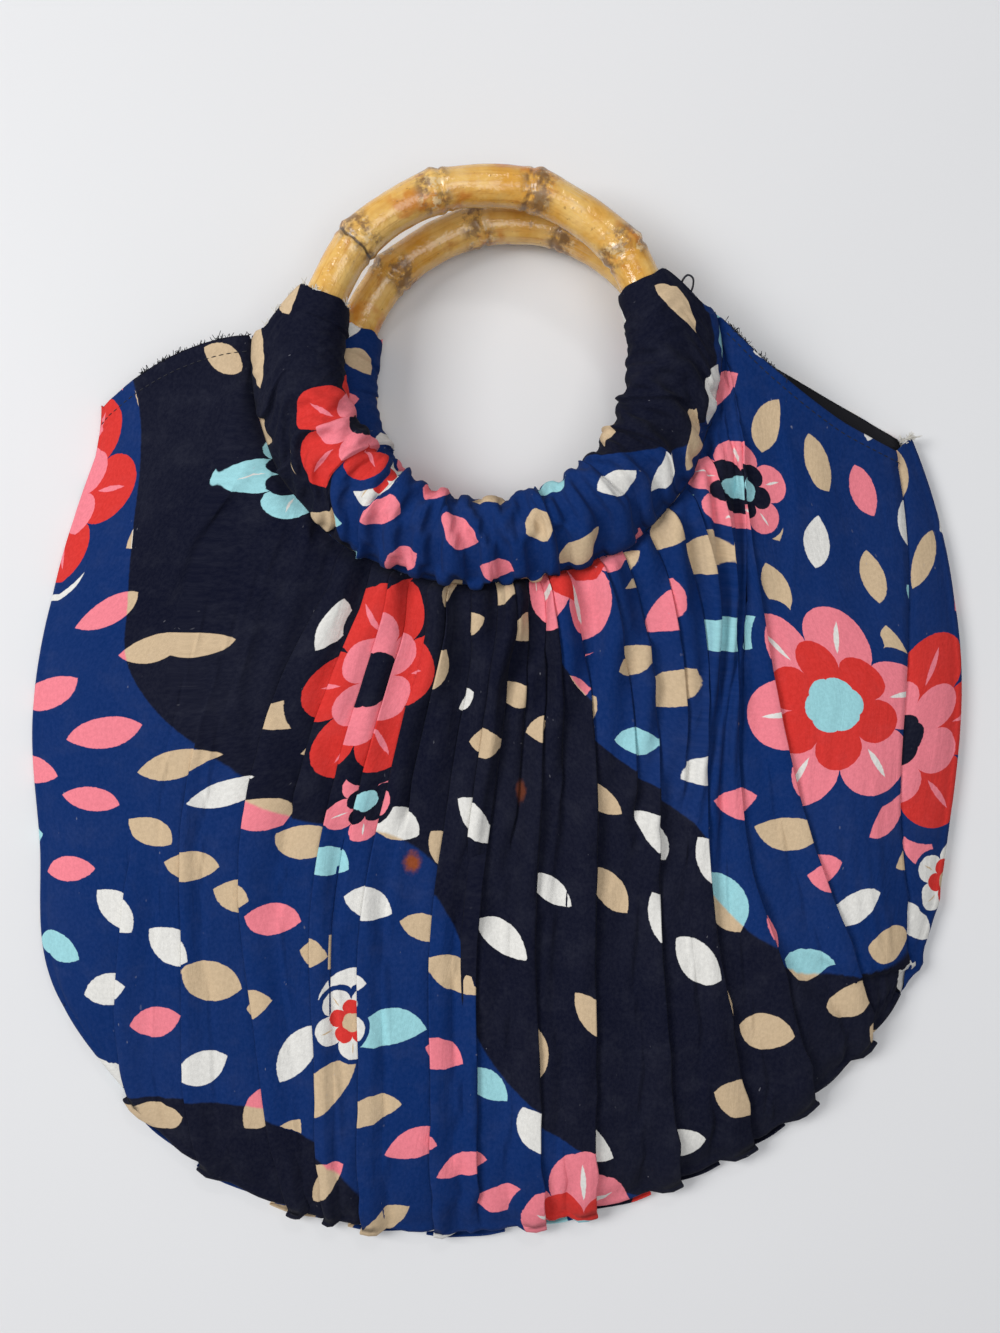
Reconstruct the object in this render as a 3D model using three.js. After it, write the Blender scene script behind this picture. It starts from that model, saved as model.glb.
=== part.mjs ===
// A soft cloth tote gathered on two round bamboo handles, lying on its back panel.
// Millimetres, +Z up: X runs across the bag, Y towards the handles, Z through its thickness.
// The origin is on the floor, under the middle of the bag's bounding box.
import * as THREE from "three";

// Driving dimensions
const WALL = 1.5; // panel cloth with its interlining
const SLEEVE_WALL = 1.2; // cloth round the handles
const LINING_WALL = 1.0;
const GAP = 0.7; // between pieces that are sewn to each other
const SLEEVE_GAP = 1.1; // between the corners of a panel's top edge and the round sleeve seam
const LINING_DROP = 4.2; // middle of the front lining below the middle of the front panel
const LINING_RISE = 2.2; // middle of the back lining above the middle of the back panel
const LINING_INSET = 9; // lining seam in from the outline of the bag

const RING = { radius: 65, cane: 8.2, knots: 11, knotRise: 0.5, knotHalf: 3.2, waist: 0.3, sides: 10 };
const BACK_RING = { x: 6, y: 126.8, z: 10.75 };
const FRONT_RING = { x: -4, y: 133.8, z: 33.8 };

// Handle sleeves: a loop of cloth round the cane, flattened towards its seam.
const SLEEVE = { loop: 10.9, seam: 88, seamDip: 4.5, seamDipHalf: 28, tip: 1.6, gather: 1.15, gathers: 12 };
const SLEEVE_ENDS = { caneLeft: 160, caneRight: 385, seamLeft: 174, seamRight: 372 };
const FRONT_SEAM_Z = 28.8;
const BACK_SEAM_Z = 4.7;

// Bag body: the outline is a radius about a middle point, the two sheets meet in a rolled edge.
const BODY = { x: -1, y: -30.2, height: 20, edgeTop: 6.2, flatness: 6, shoulder: 0.8 };
const FLOOR_SHEET_Z = WALL / 2;
const EDGE_ROLL = (BODY.edgeTop - FLOOR_SHEET_Z) / 2;
const EDGE_INSET = EDGE_ROLL + WALL / 2;
const LIFT_REACH = { front: 80, back: 44 }; // how far from the sleeve seam the cloth is held up
const OUTLINE = [
  // angle about the middle of the body, degrees; radius, mm
  { angle: 90, radius: 262 },
  { angle: 118, radius: 240 },
  { angle: 137, radius: 214 },
  { angle: 150, radius: 198 },
  { angle: 170, radius: 186 },
  { angle: 187, radius: 182 },
  { angle: 203, radius: 192 },
  { angle: 215, radius: 190 },
  { angle: 232, radius: 190 },
  { angle: 266, radius: 177 },
  { angle: 290, radius: 172 },
  { angle: 312, radius: 176 },
  { angle: 338, radius: 182 },
  { angle: 358, radius: 182 },
  { angle: 382, radius: 197 },
  { angle: 400, radius: 216 },
  { angle: 425, radius: 240 },
  { angle: 450, radius: 262 },
];
const CORNER = { left: 137, right: 400 }; // where the mouth meets the side
const FOOT = { left: 207, right: 333 }; // where the side turns into the bottom
const SEAM_WRAP = { top: 11, middle: 30, foot: EDGE_INSET }; // side seam in from the outline
const ROLL_ENDS = 0.45; // share of the rolled edge that each panel has along the bottom
const MOUTH_RISE = { frontLeft: 8, frontRight: -3, backLeft: 6, backRight: 4 };
const HEM = { width: 0.018, thick: 0.9 }; // turned hem of the mouth, as a share of the panel's length
const FAN = 120; // how strongly the pleats leave the sleeve seam at right angles

// Pleats of the front panel, from left to right. at: share of the way across; lie: the way the fold
// faces; spread: share of the width that swells up to the fold; the heights stand proud of the cloth.
const PLEATS = [
  { at: 0.13, lie: -1, spread: 0.06, top: 0.9, middle: 1.3, foot: 0.4 },
  { at: 0.21, lie: -1, spread: 0.05, top: 1.9, middle: 1.4, foot: 1.0 },
  { at: 0.29, lie: -1, spread: 0.06, top: 2.3, middle: 1.6, foot: 2.2 },
  { at: 0.36, lie: -1, spread: 0.05, top: 2.6, middle: 1.6, foot: 2.3 },
  { at: 0.43, lie: -1, spread: 0.045, top: 2.6, middle: 1.2, foot: 1.3 },
  { at: 0.49, lie: 1, spread: 0.045, top: 2.6, middle: 1.3, foot: 1.2 },
  { at: 0.55, lie: 1, spread: 0.045, top: 2.6, middle: 1.4, foot: 1.9 },
  { at: 0.61, lie: 1, spread: 0.05, top: 2.8, middle: 2.2, foot: 2.6 },
  { at: 0.67, lie: 1, spread: 0.045, top: 2.5, middle: 1.3, foot: 1.7 },
  { at: 0.74, lie: 1, spread: 0.055, top: 2.5, middle: 2.2, foot: 2.6 },
  { at: 0.8, lie: 1, spread: 0.05, top: 2.2, middle: 1.7, foot: 2.3 },
  { at: 0.87, lie: 1, spread: 0.05, top: 1.7, middle: 1.4, foot: 2.3 },
];
const PLEAT_STEP = 0.008; // width of the step down from a fold

// How finely the surfaces are divided
const FRONT_ROWS = [0, HEM.width, HEM.width * 1.5, 0.08, 0.16, 0.26, 0.37, 0.48, 0.59, 0.7, 0.8, 0.88, 0.95, 1];
const BACK_ROWS = FRONT_ROWS.filter((v) => v === 0 || v > HEM.width * 2);
const BACK_COLUMNS = 22;
const LINING_COLUMNS = 20;
const ROLL_STEPS = 3;
const SLEEVE_STEPS = 36;

const { degToRad, lerp, smoothstep, clamp } = THREE.MathUtils;

function polar(centre, radius, degrees) {
  const a = degToRad(degrees);
  return new THREE.Vector2(centre.x + radius * Math.cos(a), centre.y + radius * Math.sin(a));
}

// Smooth curve through a table's rows, read at any angle.
const outlineCurve = new THREE.SplineCurve(OUTLINE.map((row) => new THREE.Vector2(row.angle, row.radius)));

function outlineRadius(degrees) {
  const last = OUTLINE.length - 1;
  const next = clamp(OUTLINE.findIndex((row) => row.angle > degrees), 1, last);
  const [a, b] = [OUTLINE[next - 1].angle, OUTLINE[next].angle];
  return outlineCurve.getPoint((next - 1 + clamp((degrees - a) / (b - a), 0, 1)) / last).y;
}

function outlinePoint(degrees, inset) {
  return polar(BODY, outlineRadius(degrees) - inset, degrees);
}

// Distance from the middle of the body as a share of the way to the rolled edge.
function shareToEdge(p) {
  const degrees = (THREE.MathUtils.radToDeg(Math.atan2(p.y - BODY.y, p.x - BODY.x)) + 270) % 360;
  return Math.hypot(p.x - BODY.x, p.y - BODY.y) / (outlineRadius(degrees + 90) - EDGE_INSET);
}

function seamRadius(degrees) {
  const off = (degrees - 270) / SLEEVE.seamDipHalf;
  return SLEEVE.seam - SLEEVE.seamDip * Math.exp(-off * off);
}

// Middle of the upper and the lower sheet over a point of the plan.
function frontHeight(p) {
  const share = Math.min(1, shareToEdge(p));
  const dome = (1 - share ** BODY.flatness) ** BODY.shoulder;
  const body = lerp(BODY.edgeTop, BODY.height, dome);
  const away = Math.hypot(p.x - FRONT_RING.x, p.y - FRONT_RING.y) - SLEEVE.seam;
  return lerp(FRONT_SEAM_Z, body, smoothstep(away, 0, LIFT_REACH.front));
}

function backHeight(p) {
  const away = Math.hypot(p.x - BACK_RING.x, p.y - BACK_RING.y) - SLEEVE.seam;
  return lerp(BACK_SEAM_Z, FLOOR_SHEET_Z, smoothstep(away, 0, LIFT_REACH.back));
}

// Two sheets, each with its handle, its heights and the side on which it wraps round the edge.
const FRONT = { ring: FRONT_RING, height: frontHeight, other: backHeight, up: 1, wraps: "left" };
const BACK = { ring: BACK_RING, height: backHeight, other: frontHeight, up: -1, wraps: "right" };
FRONT.mouth = { left: MOUTH_RISE.frontLeft, right: MOUTH_RISE.frontRight };
BACK.mouth = { left: MOUTH_RISE.backLeft, right: MOUTH_RISE.backRight };

function seamInset(v) {
  const swell = Math.sin(Math.PI * v);
  return lerp(SEAM_WRAP.top, SEAM_WRAP.foot, v) + (SEAM_WRAP.middle - SEAM_WRAP.top) * swell;
}

function sideInset(sheet, side, v) {
  return [side, "both"].includes(sheet.wraps) ? EDGE_INSET : seamInset(v) + GAP / 2;
}

function sidePoint(sheet, side, v, extra) {
  return outlinePoint(lerp(CORNER[side], FOOT[side], v), sideInset(sheet, side, v) + extra);
}

function footPoint(u, extra) {
  return outlinePoint(lerp(FOOT.left, FOOT.right, u), EDGE_INSET + extra);
}

// Upper boundary of a sheet: mouth edge, sleeve seam, mouth edge. It is read by its length.
function topCurve(sheet, extra) {
  const path = new THREE.CurvePath();
  const seamPoint = (degrees) => polar(sheet.ring, seamRadius(degrees) + SLEEVE_GAP + extra, degrees);
  const arc = [];
  for (let i = 0; i <= 24; i++) {
    arc.push(seamPoint(lerp(SLEEVE_ENDS.seamLeft, SLEEVE_ENDS.seamRight, i / 24)));
  }
  const edge = (from, to, rise) => {
    const middle = from.clone().add(to).multiplyScalar(0.5);
    return new THREE.QuadraticBezierCurve(from, middle.setY(middle.y + 2 * rise), to);
  };
  path.add(edge(sidePoint(sheet, "left", 0, extra), arc[0], sheet.mouth.left));
  path.add(new THREE.SplineCurve(arc));
  path.add(edge(arc[24], sidePoint(sheet, "right", 0, extra), sheet.mouth.right));
  return path;
}

// Plan of a sheet: u runs across, v from the top to the bottom. The four sides are blended, and
// the pleats leave the sleeve seam at right angles.
function sheetPlan(sheet, extra = 0) {
  const top = topCurve(sheet, extra);
  const corners = [sidePoint(sheet, "left", 0, extra), sidePoint(sheet, "right", 0, extra)];
  const feet = [footPoint(0, extra), footPoint(1, extra)];
  return (u, v) => {
    const head = top.getPointAt(u);
    const p = head.clone().lerp(footPoint(u, extra), v);
    const left = sidePoint(sheet, "left", v, extra).sub(corners[0].clone().lerp(feet[0], v));
    const right = sidePoint(sheet, "right", v, extra).sub(corners[1].clone().lerp(feet[1], v));
    p.add(left.multiplyScalar(1 - u)).add(right.multiplyScalar(u));
    const out = head.clone().sub(sheet.ring).normalize();
    const fanned = FAN * v * (1 - v) ** 2 * Math.sin(Math.PI * u) ** 2;
    return p.add(out.sub(new THREE.Vector2(0, -1)).multiplyScalar(fanned));
  };
}

// Points of a cloth surface and the quads between them. Points that coincide are one point.
class Cloth {
  constructor() {
    this.points = [];
    this.outer = [];
    this.quads = [];
    this.known = new Map();
  }

  point(p, outer) {
    const key = [p.x, p.y, p.z].map((c) => Math.round(c * 200)).join();
    if (!this.known.has(key)) {
      this.known.set(key, this.points.length);
      this.points.push(p);
      this.outer.push(outer);
    }
    return this.known.get(key);
  }

  // rows[i][j] holds { p, outer }: the point and how far the outer face stands off it.
  grid(rows, flip) {
    const index = rows.map((row) => row.map(({ p, outer }) => this.point(p, outer)));
    for (let i = 0; i + 1 < index.length; i++) {
      for (let j = 0; j + 1 < index[i].length; j++) {
        const quad = [index[i][j], index[i + 1][j], index[i + 1][j + 1], index[i][j + 1]];
        this.quads.push(flip ? quad.reverse() : quad);
      }
    }
  }

  triangles() {
    const made = [];
    for (const [a, b, c, d] of this.quads) {
      for (const t of [[a, b, c], [a, c, d]]) {
        if (new Set(t).size === 3) made.push(t);
      }
    }
    return made;
  }

  // The surface with its two faces and a rim along each free edge.
  solid(inner) {
    const tris = this.triangles();
    const normals = this.points.map(() => new THREE.Vector3());
    const edges = new Set();
    const [ab, ac] = [new THREE.Vector3(), new THREE.Vector3()];
    for (const [a, b, c] of tris) {
      ab.subVectors(this.points[b], this.points[a]);
      ac.subVectors(this.points[c], this.points[a]);
      const n = ab.clone().cross(ac);
      for (const i of [a, b, c]) normals[i].add(n);
      for (const [i, j] of [[a, b], [b, c], [c, a]]) edges.add(`${i},${j}`);
    }
    const count = this.points.length;
    const position = new Float32Array(count * 6);
    this.points.forEach((p, i) => {
      const n = normals[i].normalize();
      p.clone().addScaledVector(n, this.outer[i]).toArray(position, 3 * i);
      p.clone().addScaledVector(n, -inner).toArray(position, 3 * (count + i));
    });
    const index = [];
    for (const [a, b, c] of tris) index.push(a, b, c, count + c, count + b, count + a);
    for (const edge of edges) {
      const [a, b] = edge.split(",").map(Number);
      if (!edges.has(`${b},${a}`)) index.push(b, a, count + a, b, count + a, count + b);
    }
    const geometry = new THREE.BufferGeometry();
    geometry.setAttribute("position", new THREE.BufferAttribute(position, 3));
    geometry.setIndex(index);
    return geometry;
  }
}

function raised(plan, z) {
  return new THREE.Vector3(plan.x, plan.y, z);
}

// How far the pleats and the turned hem stand off the cloth.
function pleatRelief(u, v) {
  let relief = 0;
  for (const { at, lie, spread, top, middle, foot } of PLEATS) {
    const before = (at - u) * lie;
    const height = v < 0.5 ? lerp(top, middle, 2 * v) : lerp(middle, foot, 2 * v - 1);
    const rise = before >= 0 ? 1 - before / spread : 1 + before / PLEAT_STEP;
    relief = Math.max(relief, height * clamp(rise, 0, 1));
  }
  return relief;
}

// Shares of the way across at which the mouth edges meet the sleeve.
function sleeveSpan(sheet) {
  const lengths = topCurve(sheet, 0).getCurveLengths();
  return [lengths[0] / lengths[2], lengths[1] / lengths[2]];
}

// Columns of the front panel: the folds, their feet and the swell before each.
function pleatColumns() {
  const columns = new Set([0, 0.03, 0.06, 0.93, 0.965, 1, ...sleeveSpan(FRONT)]);
  for (const { at, lie, spread } of PLEATS) {
    for (const off of [0, PLEAT_STEP, -0.5 * spread]) columns.add(at + lie * off);
  }
  return [...columns].sort((a, b) => a - b);
}

// The rolled edge past a sheet's boundary, at an angle of the outline, for a given length of cloth.
function rollPoint(sheet, degrees, length) {
  const half = Math.PI * EDGE_ROLL;
  if (length > half) {
    const plan = outlinePoint(degrees, EDGE_INSET + length - half);
    return raised(plan, sheet.other(plan));
  }
  const turn = length / EDGE_ROLL;
  const plan = outlinePoint(degrees, EDGE_INSET - EDGE_ROLL * Math.sin(turn));
  const middle = FLOOR_SHEET_Z + EDGE_ROLL;
  return raised(plan, middle + sheet.up * EDGE_ROLL * Math.cos(turn));
}

// Cloth past the boundary: it wraps to the side seam on one side, and stops half-way at the bottom.
function rollRow(sheet, degrees, length) {
  const half = Math.PI * EDGE_ROLL;
  const stops = [];
  for (let k = 0; k <= ROLL_STEPS; k++) stops.push(Math.min(length, (half * k) / ROLL_STEPS));
  stops.push(length > half ? lerp(half, length, 0.5) : length, length);
  return stops.map((s) => ({ p: rollPoint(sheet, degrees, s), outer: WALL / 2 }));
}

function panel(sheet, columns, rows, relief) {
  const plan = sheetPlan(sheet);
  const cloth = new Cloth();
  const half = Math.PI * EDGE_ROLL;
  const body = columns.map((u) =>
    rows.map((v) => {
      const p = plan(u, v);
      return { p: raised(p, sheet.height(p)), outer: WALL / 2 + relief(u, v) };
    }),
  );
  cloth.grid(body, sheet.up < 0);
  const bottom = half * ROLL_ENDS;
  const foot = columns.map((u) => rollRow(sheet, lerp(FOOT.left, FOOT.right, u), bottom));
  const side = rows.map((v) => {
    const over = Math.max(bottom, lerp(half + seamInset(v) - EDGE_INSET - GAP / 2, bottom, v ** 12));
    return rollRow(sheet, lerp(CORNER[sheet.wraps], FOOT[sheet.wraps], v), over);
  });
  cloth.grid(foot, sheet.up < 0);
  cloth.grid(side, sheet.up < 0 === (sheet.wraps === "left"));
  return cloth.solid(WALL / 2);
}

function frontPanel() {
  const [from, to] = sleeveSpan(FRONT);
  const relief = (u, v) => {
    const hem = (u < from || u > to) && v <= HEM.width ? HEM.thick : 0;
    return Math.max(hem, pleatRelief(u, v) * Math.min(1, Math.max(0, 1 - v) * 12));
  };
  return panel(FRONT, pleatColumns(), FRONT_ROWS, relief);
}

function backPanel() {
  const columns = Array.from({ length: BACK_COLUMNS + 1 }, (_, i) => i / BACK_COLUMNS);
  return panel(BACK, columns, BACK_ROWS, () => 0);
}

// Inner bag: a front and a back sheet sewn together along the sides and the bottom.
function lining() {
  const cloth = new Cloth();
  const front = (p) => frontHeight(p) - LINING_DROP;
  const back = (p) => backHeight(p) + LINING_RISE;
  for (const [sheet, height] of [[FRONT, front], [BACK, back]]) {
    const plan = sheetPlan({ ...sheet, wraps: "both" }, LINING_INSET - EDGE_INSET);
    const columns = Array.from({ length: LINING_COLUMNS + 1 }, (_, i) => i / LINING_COLUMNS);
    const rows = columns.map((u) =>
      BACK_ROWS.map((v) => {
        const p = plan(u, v);
        const sewn = u === 0 || u === 1 || v === 1;
        const z = sewn ? lerp(front(p), back(p), 0.5) : height(p);
        return { p: raised(p, z), outer: LINING_WALL / 2 };
      }),
    );
    cloth.grid(rows, sheet.up < 0);
  }
  return cloth.solid(LINING_WALL / 2);
}

// Bamboo hoop: a cane bent to a ring, swollen at each knot and slimmer between knots.
function bambooRing() {
  const angles = [];
  const pitch = 360 / RING.knots;
  for (let k = 0; k < RING.knots; k++) {
    for (const off of [-RING.knotHalf, 0, RING.knotHalf, 0.5 * pitch]) angles.push(k * pitch + off);
  }
  const cane = (off) => {
    if (Math.abs(off) < 0.1) return RING.cane + RING.knotRise;
    return Math.abs(off) > RING.knotHalf + 0.1 ? RING.cane - RING.waist : RING.cane;
  };
  const position = [];
  const index = [];
  const n = RING.sides;
  angles.forEach((degrees, i) => {
    const off = ((degrees + 1.5 * pitch) % pitch) - pitch / 2;
    for (let j = 0; j < n; j++) {
      const turn = (2 * Math.PI * j) / n;
      const p = polar({ x: 0, y: 0 }, RING.radius + cane(off) * Math.cos(turn), degrees);
      position.push(p.x, p.y, cane(off) * Math.sin(turn));
      const [next, up] = [((i + 1) % angles.length) * n, (j + 1) % n];
      index.push(i * n + j, next + j, next + up, i * n + j, next + up, i * n + up);
    }
  });
  const geometry = new THREE.BufferGeometry();
  geometry.setAttribute("position", new THREE.Float32BufferAttribute(position, 3));
  geometry.setIndex(index);
  return geometry;
}

// Section of a handle sleeve about the cane: [distance out from the cane's middle, height].
function sleeveSection(loop, swell, tipHeight, tipReach, tipHalf) {
  const section = [];
  for (const degrees of [60, 100, 140, 180, 220, 260, 300]) {
    const a = degToRad(degrees);
    const upper = Math.max(0, Math.sin(a - degToRad(20)));
    const r = loop + swell * upper;
    section.push(new THREE.Vector2(r * Math.cos(a), r * Math.sin(a)));
  }
  section.push(new THREE.Vector2(tipReach, tipHeight - tipHalf));
  section.push(new THREE.Vector2(tipReach, tipHeight + tipHalf));
  const last = section[section.length - 1];
  section.push(last.clone().lerp(section[0], 0.5).add(new THREE.Vector2(0, swell + 0.4)));
  return section;
}

// Sleeve: an open-ended tube of cloth along the ring, gathered into ridges.
function sleeve(ring, seamZ) {
  const rows = { outer: [], inner: [] };
  for (let i = 0; i <= SLEEVE_STEPS; i++) {
    const t = i / SLEEVE_STEPS;
    const seamAt = lerp(SLEEVE_ENDS.seamLeft, SLEEVE_ENDS.seamRight, t);
    const reach = seamRadius(seamAt) - RING.radius;
    const swell = SLEEVE.gather * (0.5 + 0.5 * Math.sin(2 * Math.PI * SLEEVE.gathers * t));
    const skins = {
      outer: sleeveSection(SLEEVE.loop, swell, seamZ - ring.z, reach, SLEEVE.tip),
      inner: sleeveSection(SLEEVE.loop - SLEEVE_WALL, swell, seamZ - ring.z, reach - 3, 0.4),
    };
    for (const [skin, section] of Object.entries(skins)) {
      const place = ({ x, y }) => {
        const slant = smoothstep(x, RING.cane, reach);
        const left = lerp(SLEEVE_ENDS.caneLeft, SLEEVE_ENDS.seamLeft, slant);
        const right = lerp(SLEEVE_ENDS.caneRight, SLEEVE_ENDS.seamRight, slant);
        return raised(polar(ring, RING.radius + x, lerp(left, right, t)), ring.z + y);
      };
      rows[skin].push(section.map(place));
    }
  }
  const n = rows.outer[0].length;
  const points = [...rows.outer.flat(), ...rows.inner.flat()];
  const inside = (SLEEVE_STEPS + 1) * n;
  const index = [];
  const quad = (a, b, c, d) => index.push(a, b, c, a, c, d);
  for (let j = 0; j < n; j++) {
    const up = (j + 1) % n;
    for (let i = 0; i < SLEEVE_STEPS; i++) {
      const [a, b, c, d] = [i * n + j, (i + 1) * n + j, (i + 1) * n + up, i * n + up];
      quad(a, b, c, d);
      quad(inside + d, inside + c, inside + b, inside + a);
    }
    const end = SLEEVE_STEPS * n;
    quad(up, inside + up, inside + j, j);
    quad(end + j, inside + end + j, inside + end + up, end + up);
  }
  return new THREE.BufferGeometry().setFromPoints(points).setIndex(index);
}

const navyCloth = new THREE.MeshStandardMaterial({ color: 0x1b2236, roughness: 0.9, metalness: 0 });
const blackLining = new THREE.MeshStandardMaterial({ color: 0x101012, roughness: 0.6, metalness: 0 });
const bamboo = new THREE.MeshStandardMaterial({ color: 0xd09a45, roughness: 0.25, metalness: 0 });

function piece(name, geometry, material, place) {
  const mesh = new THREE.Mesh(geometry, material);
  mesh.name = name;
  if (place) mesh.position.set(place.x, place.y, place.z);
  return mesh;
}

const tote = new THREE.Group();
tote.add(
  piece("front_ring", bambooRing(), bamboo, FRONT_RING),
  piece("back_ring", bambooRing(), bamboo, BACK_RING),
  piece("front_casing", sleeve(FRONT_RING, FRONT_SEAM_Z), navyCloth),
  piece("back_casing", sleeve(BACK_RING, BACK_SEAM_Z), navyCloth),
  piece("front_panel", frontPanel(), navyCloth),
  piece("back_panel", backPanel(), navyCloth),
  piece("lining", lining(), blackLining),
);

export default tote;
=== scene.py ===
"""Soft cloth tote gathered on two bamboo ring handles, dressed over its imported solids."""

from __future__ import annotations

import logging
import math
from dataclasses import dataclass, field
from enum import Enum
from typing import Callable, Sequence, Union

import bpy
import numpy as np
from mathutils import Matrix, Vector


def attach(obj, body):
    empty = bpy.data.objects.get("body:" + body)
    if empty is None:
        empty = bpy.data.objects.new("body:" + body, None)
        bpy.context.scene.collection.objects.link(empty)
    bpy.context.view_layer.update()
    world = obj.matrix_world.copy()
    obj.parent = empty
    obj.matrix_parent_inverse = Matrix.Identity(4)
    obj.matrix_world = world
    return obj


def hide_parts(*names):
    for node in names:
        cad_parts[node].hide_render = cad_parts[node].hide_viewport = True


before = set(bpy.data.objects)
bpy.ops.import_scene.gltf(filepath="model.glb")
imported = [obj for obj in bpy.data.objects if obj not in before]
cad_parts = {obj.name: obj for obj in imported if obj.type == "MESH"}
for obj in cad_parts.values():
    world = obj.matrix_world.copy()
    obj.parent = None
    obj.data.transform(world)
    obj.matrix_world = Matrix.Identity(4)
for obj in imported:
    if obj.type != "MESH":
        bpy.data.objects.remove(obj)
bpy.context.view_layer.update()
LOG = logging.getLogger("tote")
MM = 0.001
WALL = 1.5  # panel thickness of the solids, in millimetres
CLOTH = 0.3  # thickness of one layer of printed cotton
Array = np.ndarray
HeightOver = Callable[[Array], Array]
Object = bpy.types.Object
Material = bpy.types.Material
NodeTree = bpy.types.NodeTree
Socket = bpy.types.NodeSocket
Inputs = bpy.types.NodeInputs
Outputs = bpy.types.NodeOutputs
Value = Union[Socket, float, Sequence[float]]
Colour = tuple[int, int, int]


def lerp(a: Array | float, b: Array | float, t: Array | float) -> Array:
    """Blend from a to b by t."""
    return a + (np.asarray(b) - a) * t


def ease(x: Array | float, low: float, high: float) -> Array:
    """Smooth step from 0 at low to 1 at high."""
    t = np.clip((np.asarray(x, float) - low) / (high - low), 0.0, 1.0)
    return t * t * (3.0 - 2.0 * t)


def bump_at(x: Array, middle: float, half: float) -> Array:
    """Bell of height 1 about a middle."""
    return np.exp(-(((x - middle) / half) ** 2))


def three_way(first: float, second: float, third: float, v: Array) -> Array:
    """Curve through a value at v = 0, 0.5 and 1."""
    return first * (2 * v - 1) * (v - 1) + second * 4 * v * (1 - v) + third * v * (2 * v - 1)


def hermite(a: Array, b: Array, into: Array, out: Array, t: Array) -> Array:
    """Curve from a to b by t, with its slopes at the two ends."""
    return (2 * a - 2 * b + into + out) * t**3 + (3 * b - 3 * a - 2 * into - out) * t**2 + into * t + a


def unit(vectors: Array) -> Array:
    """Vectors of the same directions with a length of 1."""
    return vectors / np.maximum(np.linalg.norm(vectors, axis=-1, keepdims=True), 1e-9)


def through(knots: Array, values: Array, s: Array) -> Array:
    """Curves through values at knots.

    Args:
        knots: Places of the values, from 0 to 1.
        values: Values of each curve, a row for each.
        s: Places at which the curves are read.

    Returns:
        The values at those places, a row for each curve.
    """
    slope = np.gradient(values, knots, axis=1)
    n = np.clip(np.searchsorted(knots, s, side="right"), 1, len(knots) - 1)
    h = knots[n] - knots[n - 1]
    t = (s - knots[n - 1]) / h
    return hermite(values[:, n - 1], values[:, n], slope[:, n - 1] * h, slope[:, n] * h, t)


def bearing(dx: Array, dy: Array) -> Array:
    """Angle of a step in plan, in degrees from 90 to 450."""
    return (np.degrees(np.arctan2(dy, dx)) - 90.0) % 360.0 + 90.0


def raised(plan: Array, z: Array) -> Array:
    """Points from plan points and heights."""
    return np.concatenate([plan, z[..., None]], -1)


def uneven(x: Array, y: Array, seed: int) -> Array:
    """Smooth seeded noise between -1 and 1 with features about one unit wide.

    Args:
        x: First coordinate, in features.
        y: Second coordinate, in features.
        seed: Seed of the lattice.

    Returns:
        The noise at each point.
    """
    lattice = np.random.default_rng(seed).uniform(-1.0, 1.0, (64, 64))
    x, y = np.broadcast_arrays(np.asarray(x, float), np.asarray(y, float))
    xi, yi = np.floor(x).astype(int), np.floor(y).astype(int)
    fx, fy = ease(x - xi, 0, 1), ease(y - yi, 0, 1)
    corner = [[lattice[(xi + i) % 64, (yi + j) % 64] for j in (0, 1)] for i in (0, 1)]
    near = lerp(corner[0][0], corner[0][1], fy)
    far = lerp(corner[1][0], corner[1][1], fy)
    return lerp(near, far, fx)


def sample(grid: Array, u: Array, v: Array) -> Array:
    """Read a grid of values between its points, on smooth curves.

    Args:
        grid: Values with rows, columns and parts.
        u: Share of the way along the columns.
        v: Share of the way along the rows.

    Returns:
        The values, with the parts last.
    """
    rows, columns = grid.shape[:2]
    x, y = np.broadcast_arrays(np.clip(u, 0, 1) * (columns - 1), np.clip(v, 0, 1) * (rows - 1))
    column, row = np.minimum(x.astype(int), columns - 2), np.minimum(y.astype(int), rows - 2)

    def weights(s: Array) -> tuple[Array, Array, Array, Array]:
        """Shares of the four nearest points."""
        first, last = (2 * s**2 - s - s**3) / 2, (s**3 - s**2) / 2
        return first, (2 - 5 * s**2 + 3 * s**3) / 2, (s + 4 * s**2 - 3 * s**3) / 2, last

    total = np.zeros((*x.shape, grid.shape[2]))
    for j, down in enumerate(weights((y - row)[..., None]), -1):
        for i, across in enumerate(weights((x - column)[..., None]), -1):
            total += down * across * grid[np.clip(row + j, 0, rows - 1), np.clip(column + i, 0, columns - 1)]
    return total


class Side(Enum):
    """Side of the bag on which a sheet wraps round the edge."""

    LEFT = "left"
    RIGHT = "right"
    BOTH = "both"


@dataclass(frozen=True)
class RingSeat:
    """Place of a handle ring: its middle, in millimetres."""

    x: float
    y: float
    z: float
    radius: float = 65.0

    def away(self, p: Array) -> Array:
        """Distance of plan points from the ring's middle."""
        return np.hypot(p[..., 0] - self.x, p[..., 1] - self.y)

    def angle(self, p: Array) -> Array:
        """Angle of plan points about the ring, in degrees from 90 to 450."""
        return bearing(p[..., 0] - self.x, p[..., 1] - self.y)

    def point(self, radius: Array, degrees: Array) -> Array:
        """Plan point at a radius and an angle."""
        a = np.radians(degrees)
        return np.stack([self.x + radius * np.cos(a), self.y + radius * np.sin(a)], -1)


FRONT_SEAT = RingSeat(-4.0, 133.8, 33.8)
BACK_SEAT = RingSeat(6.0, 126.8, 10.75)


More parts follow.
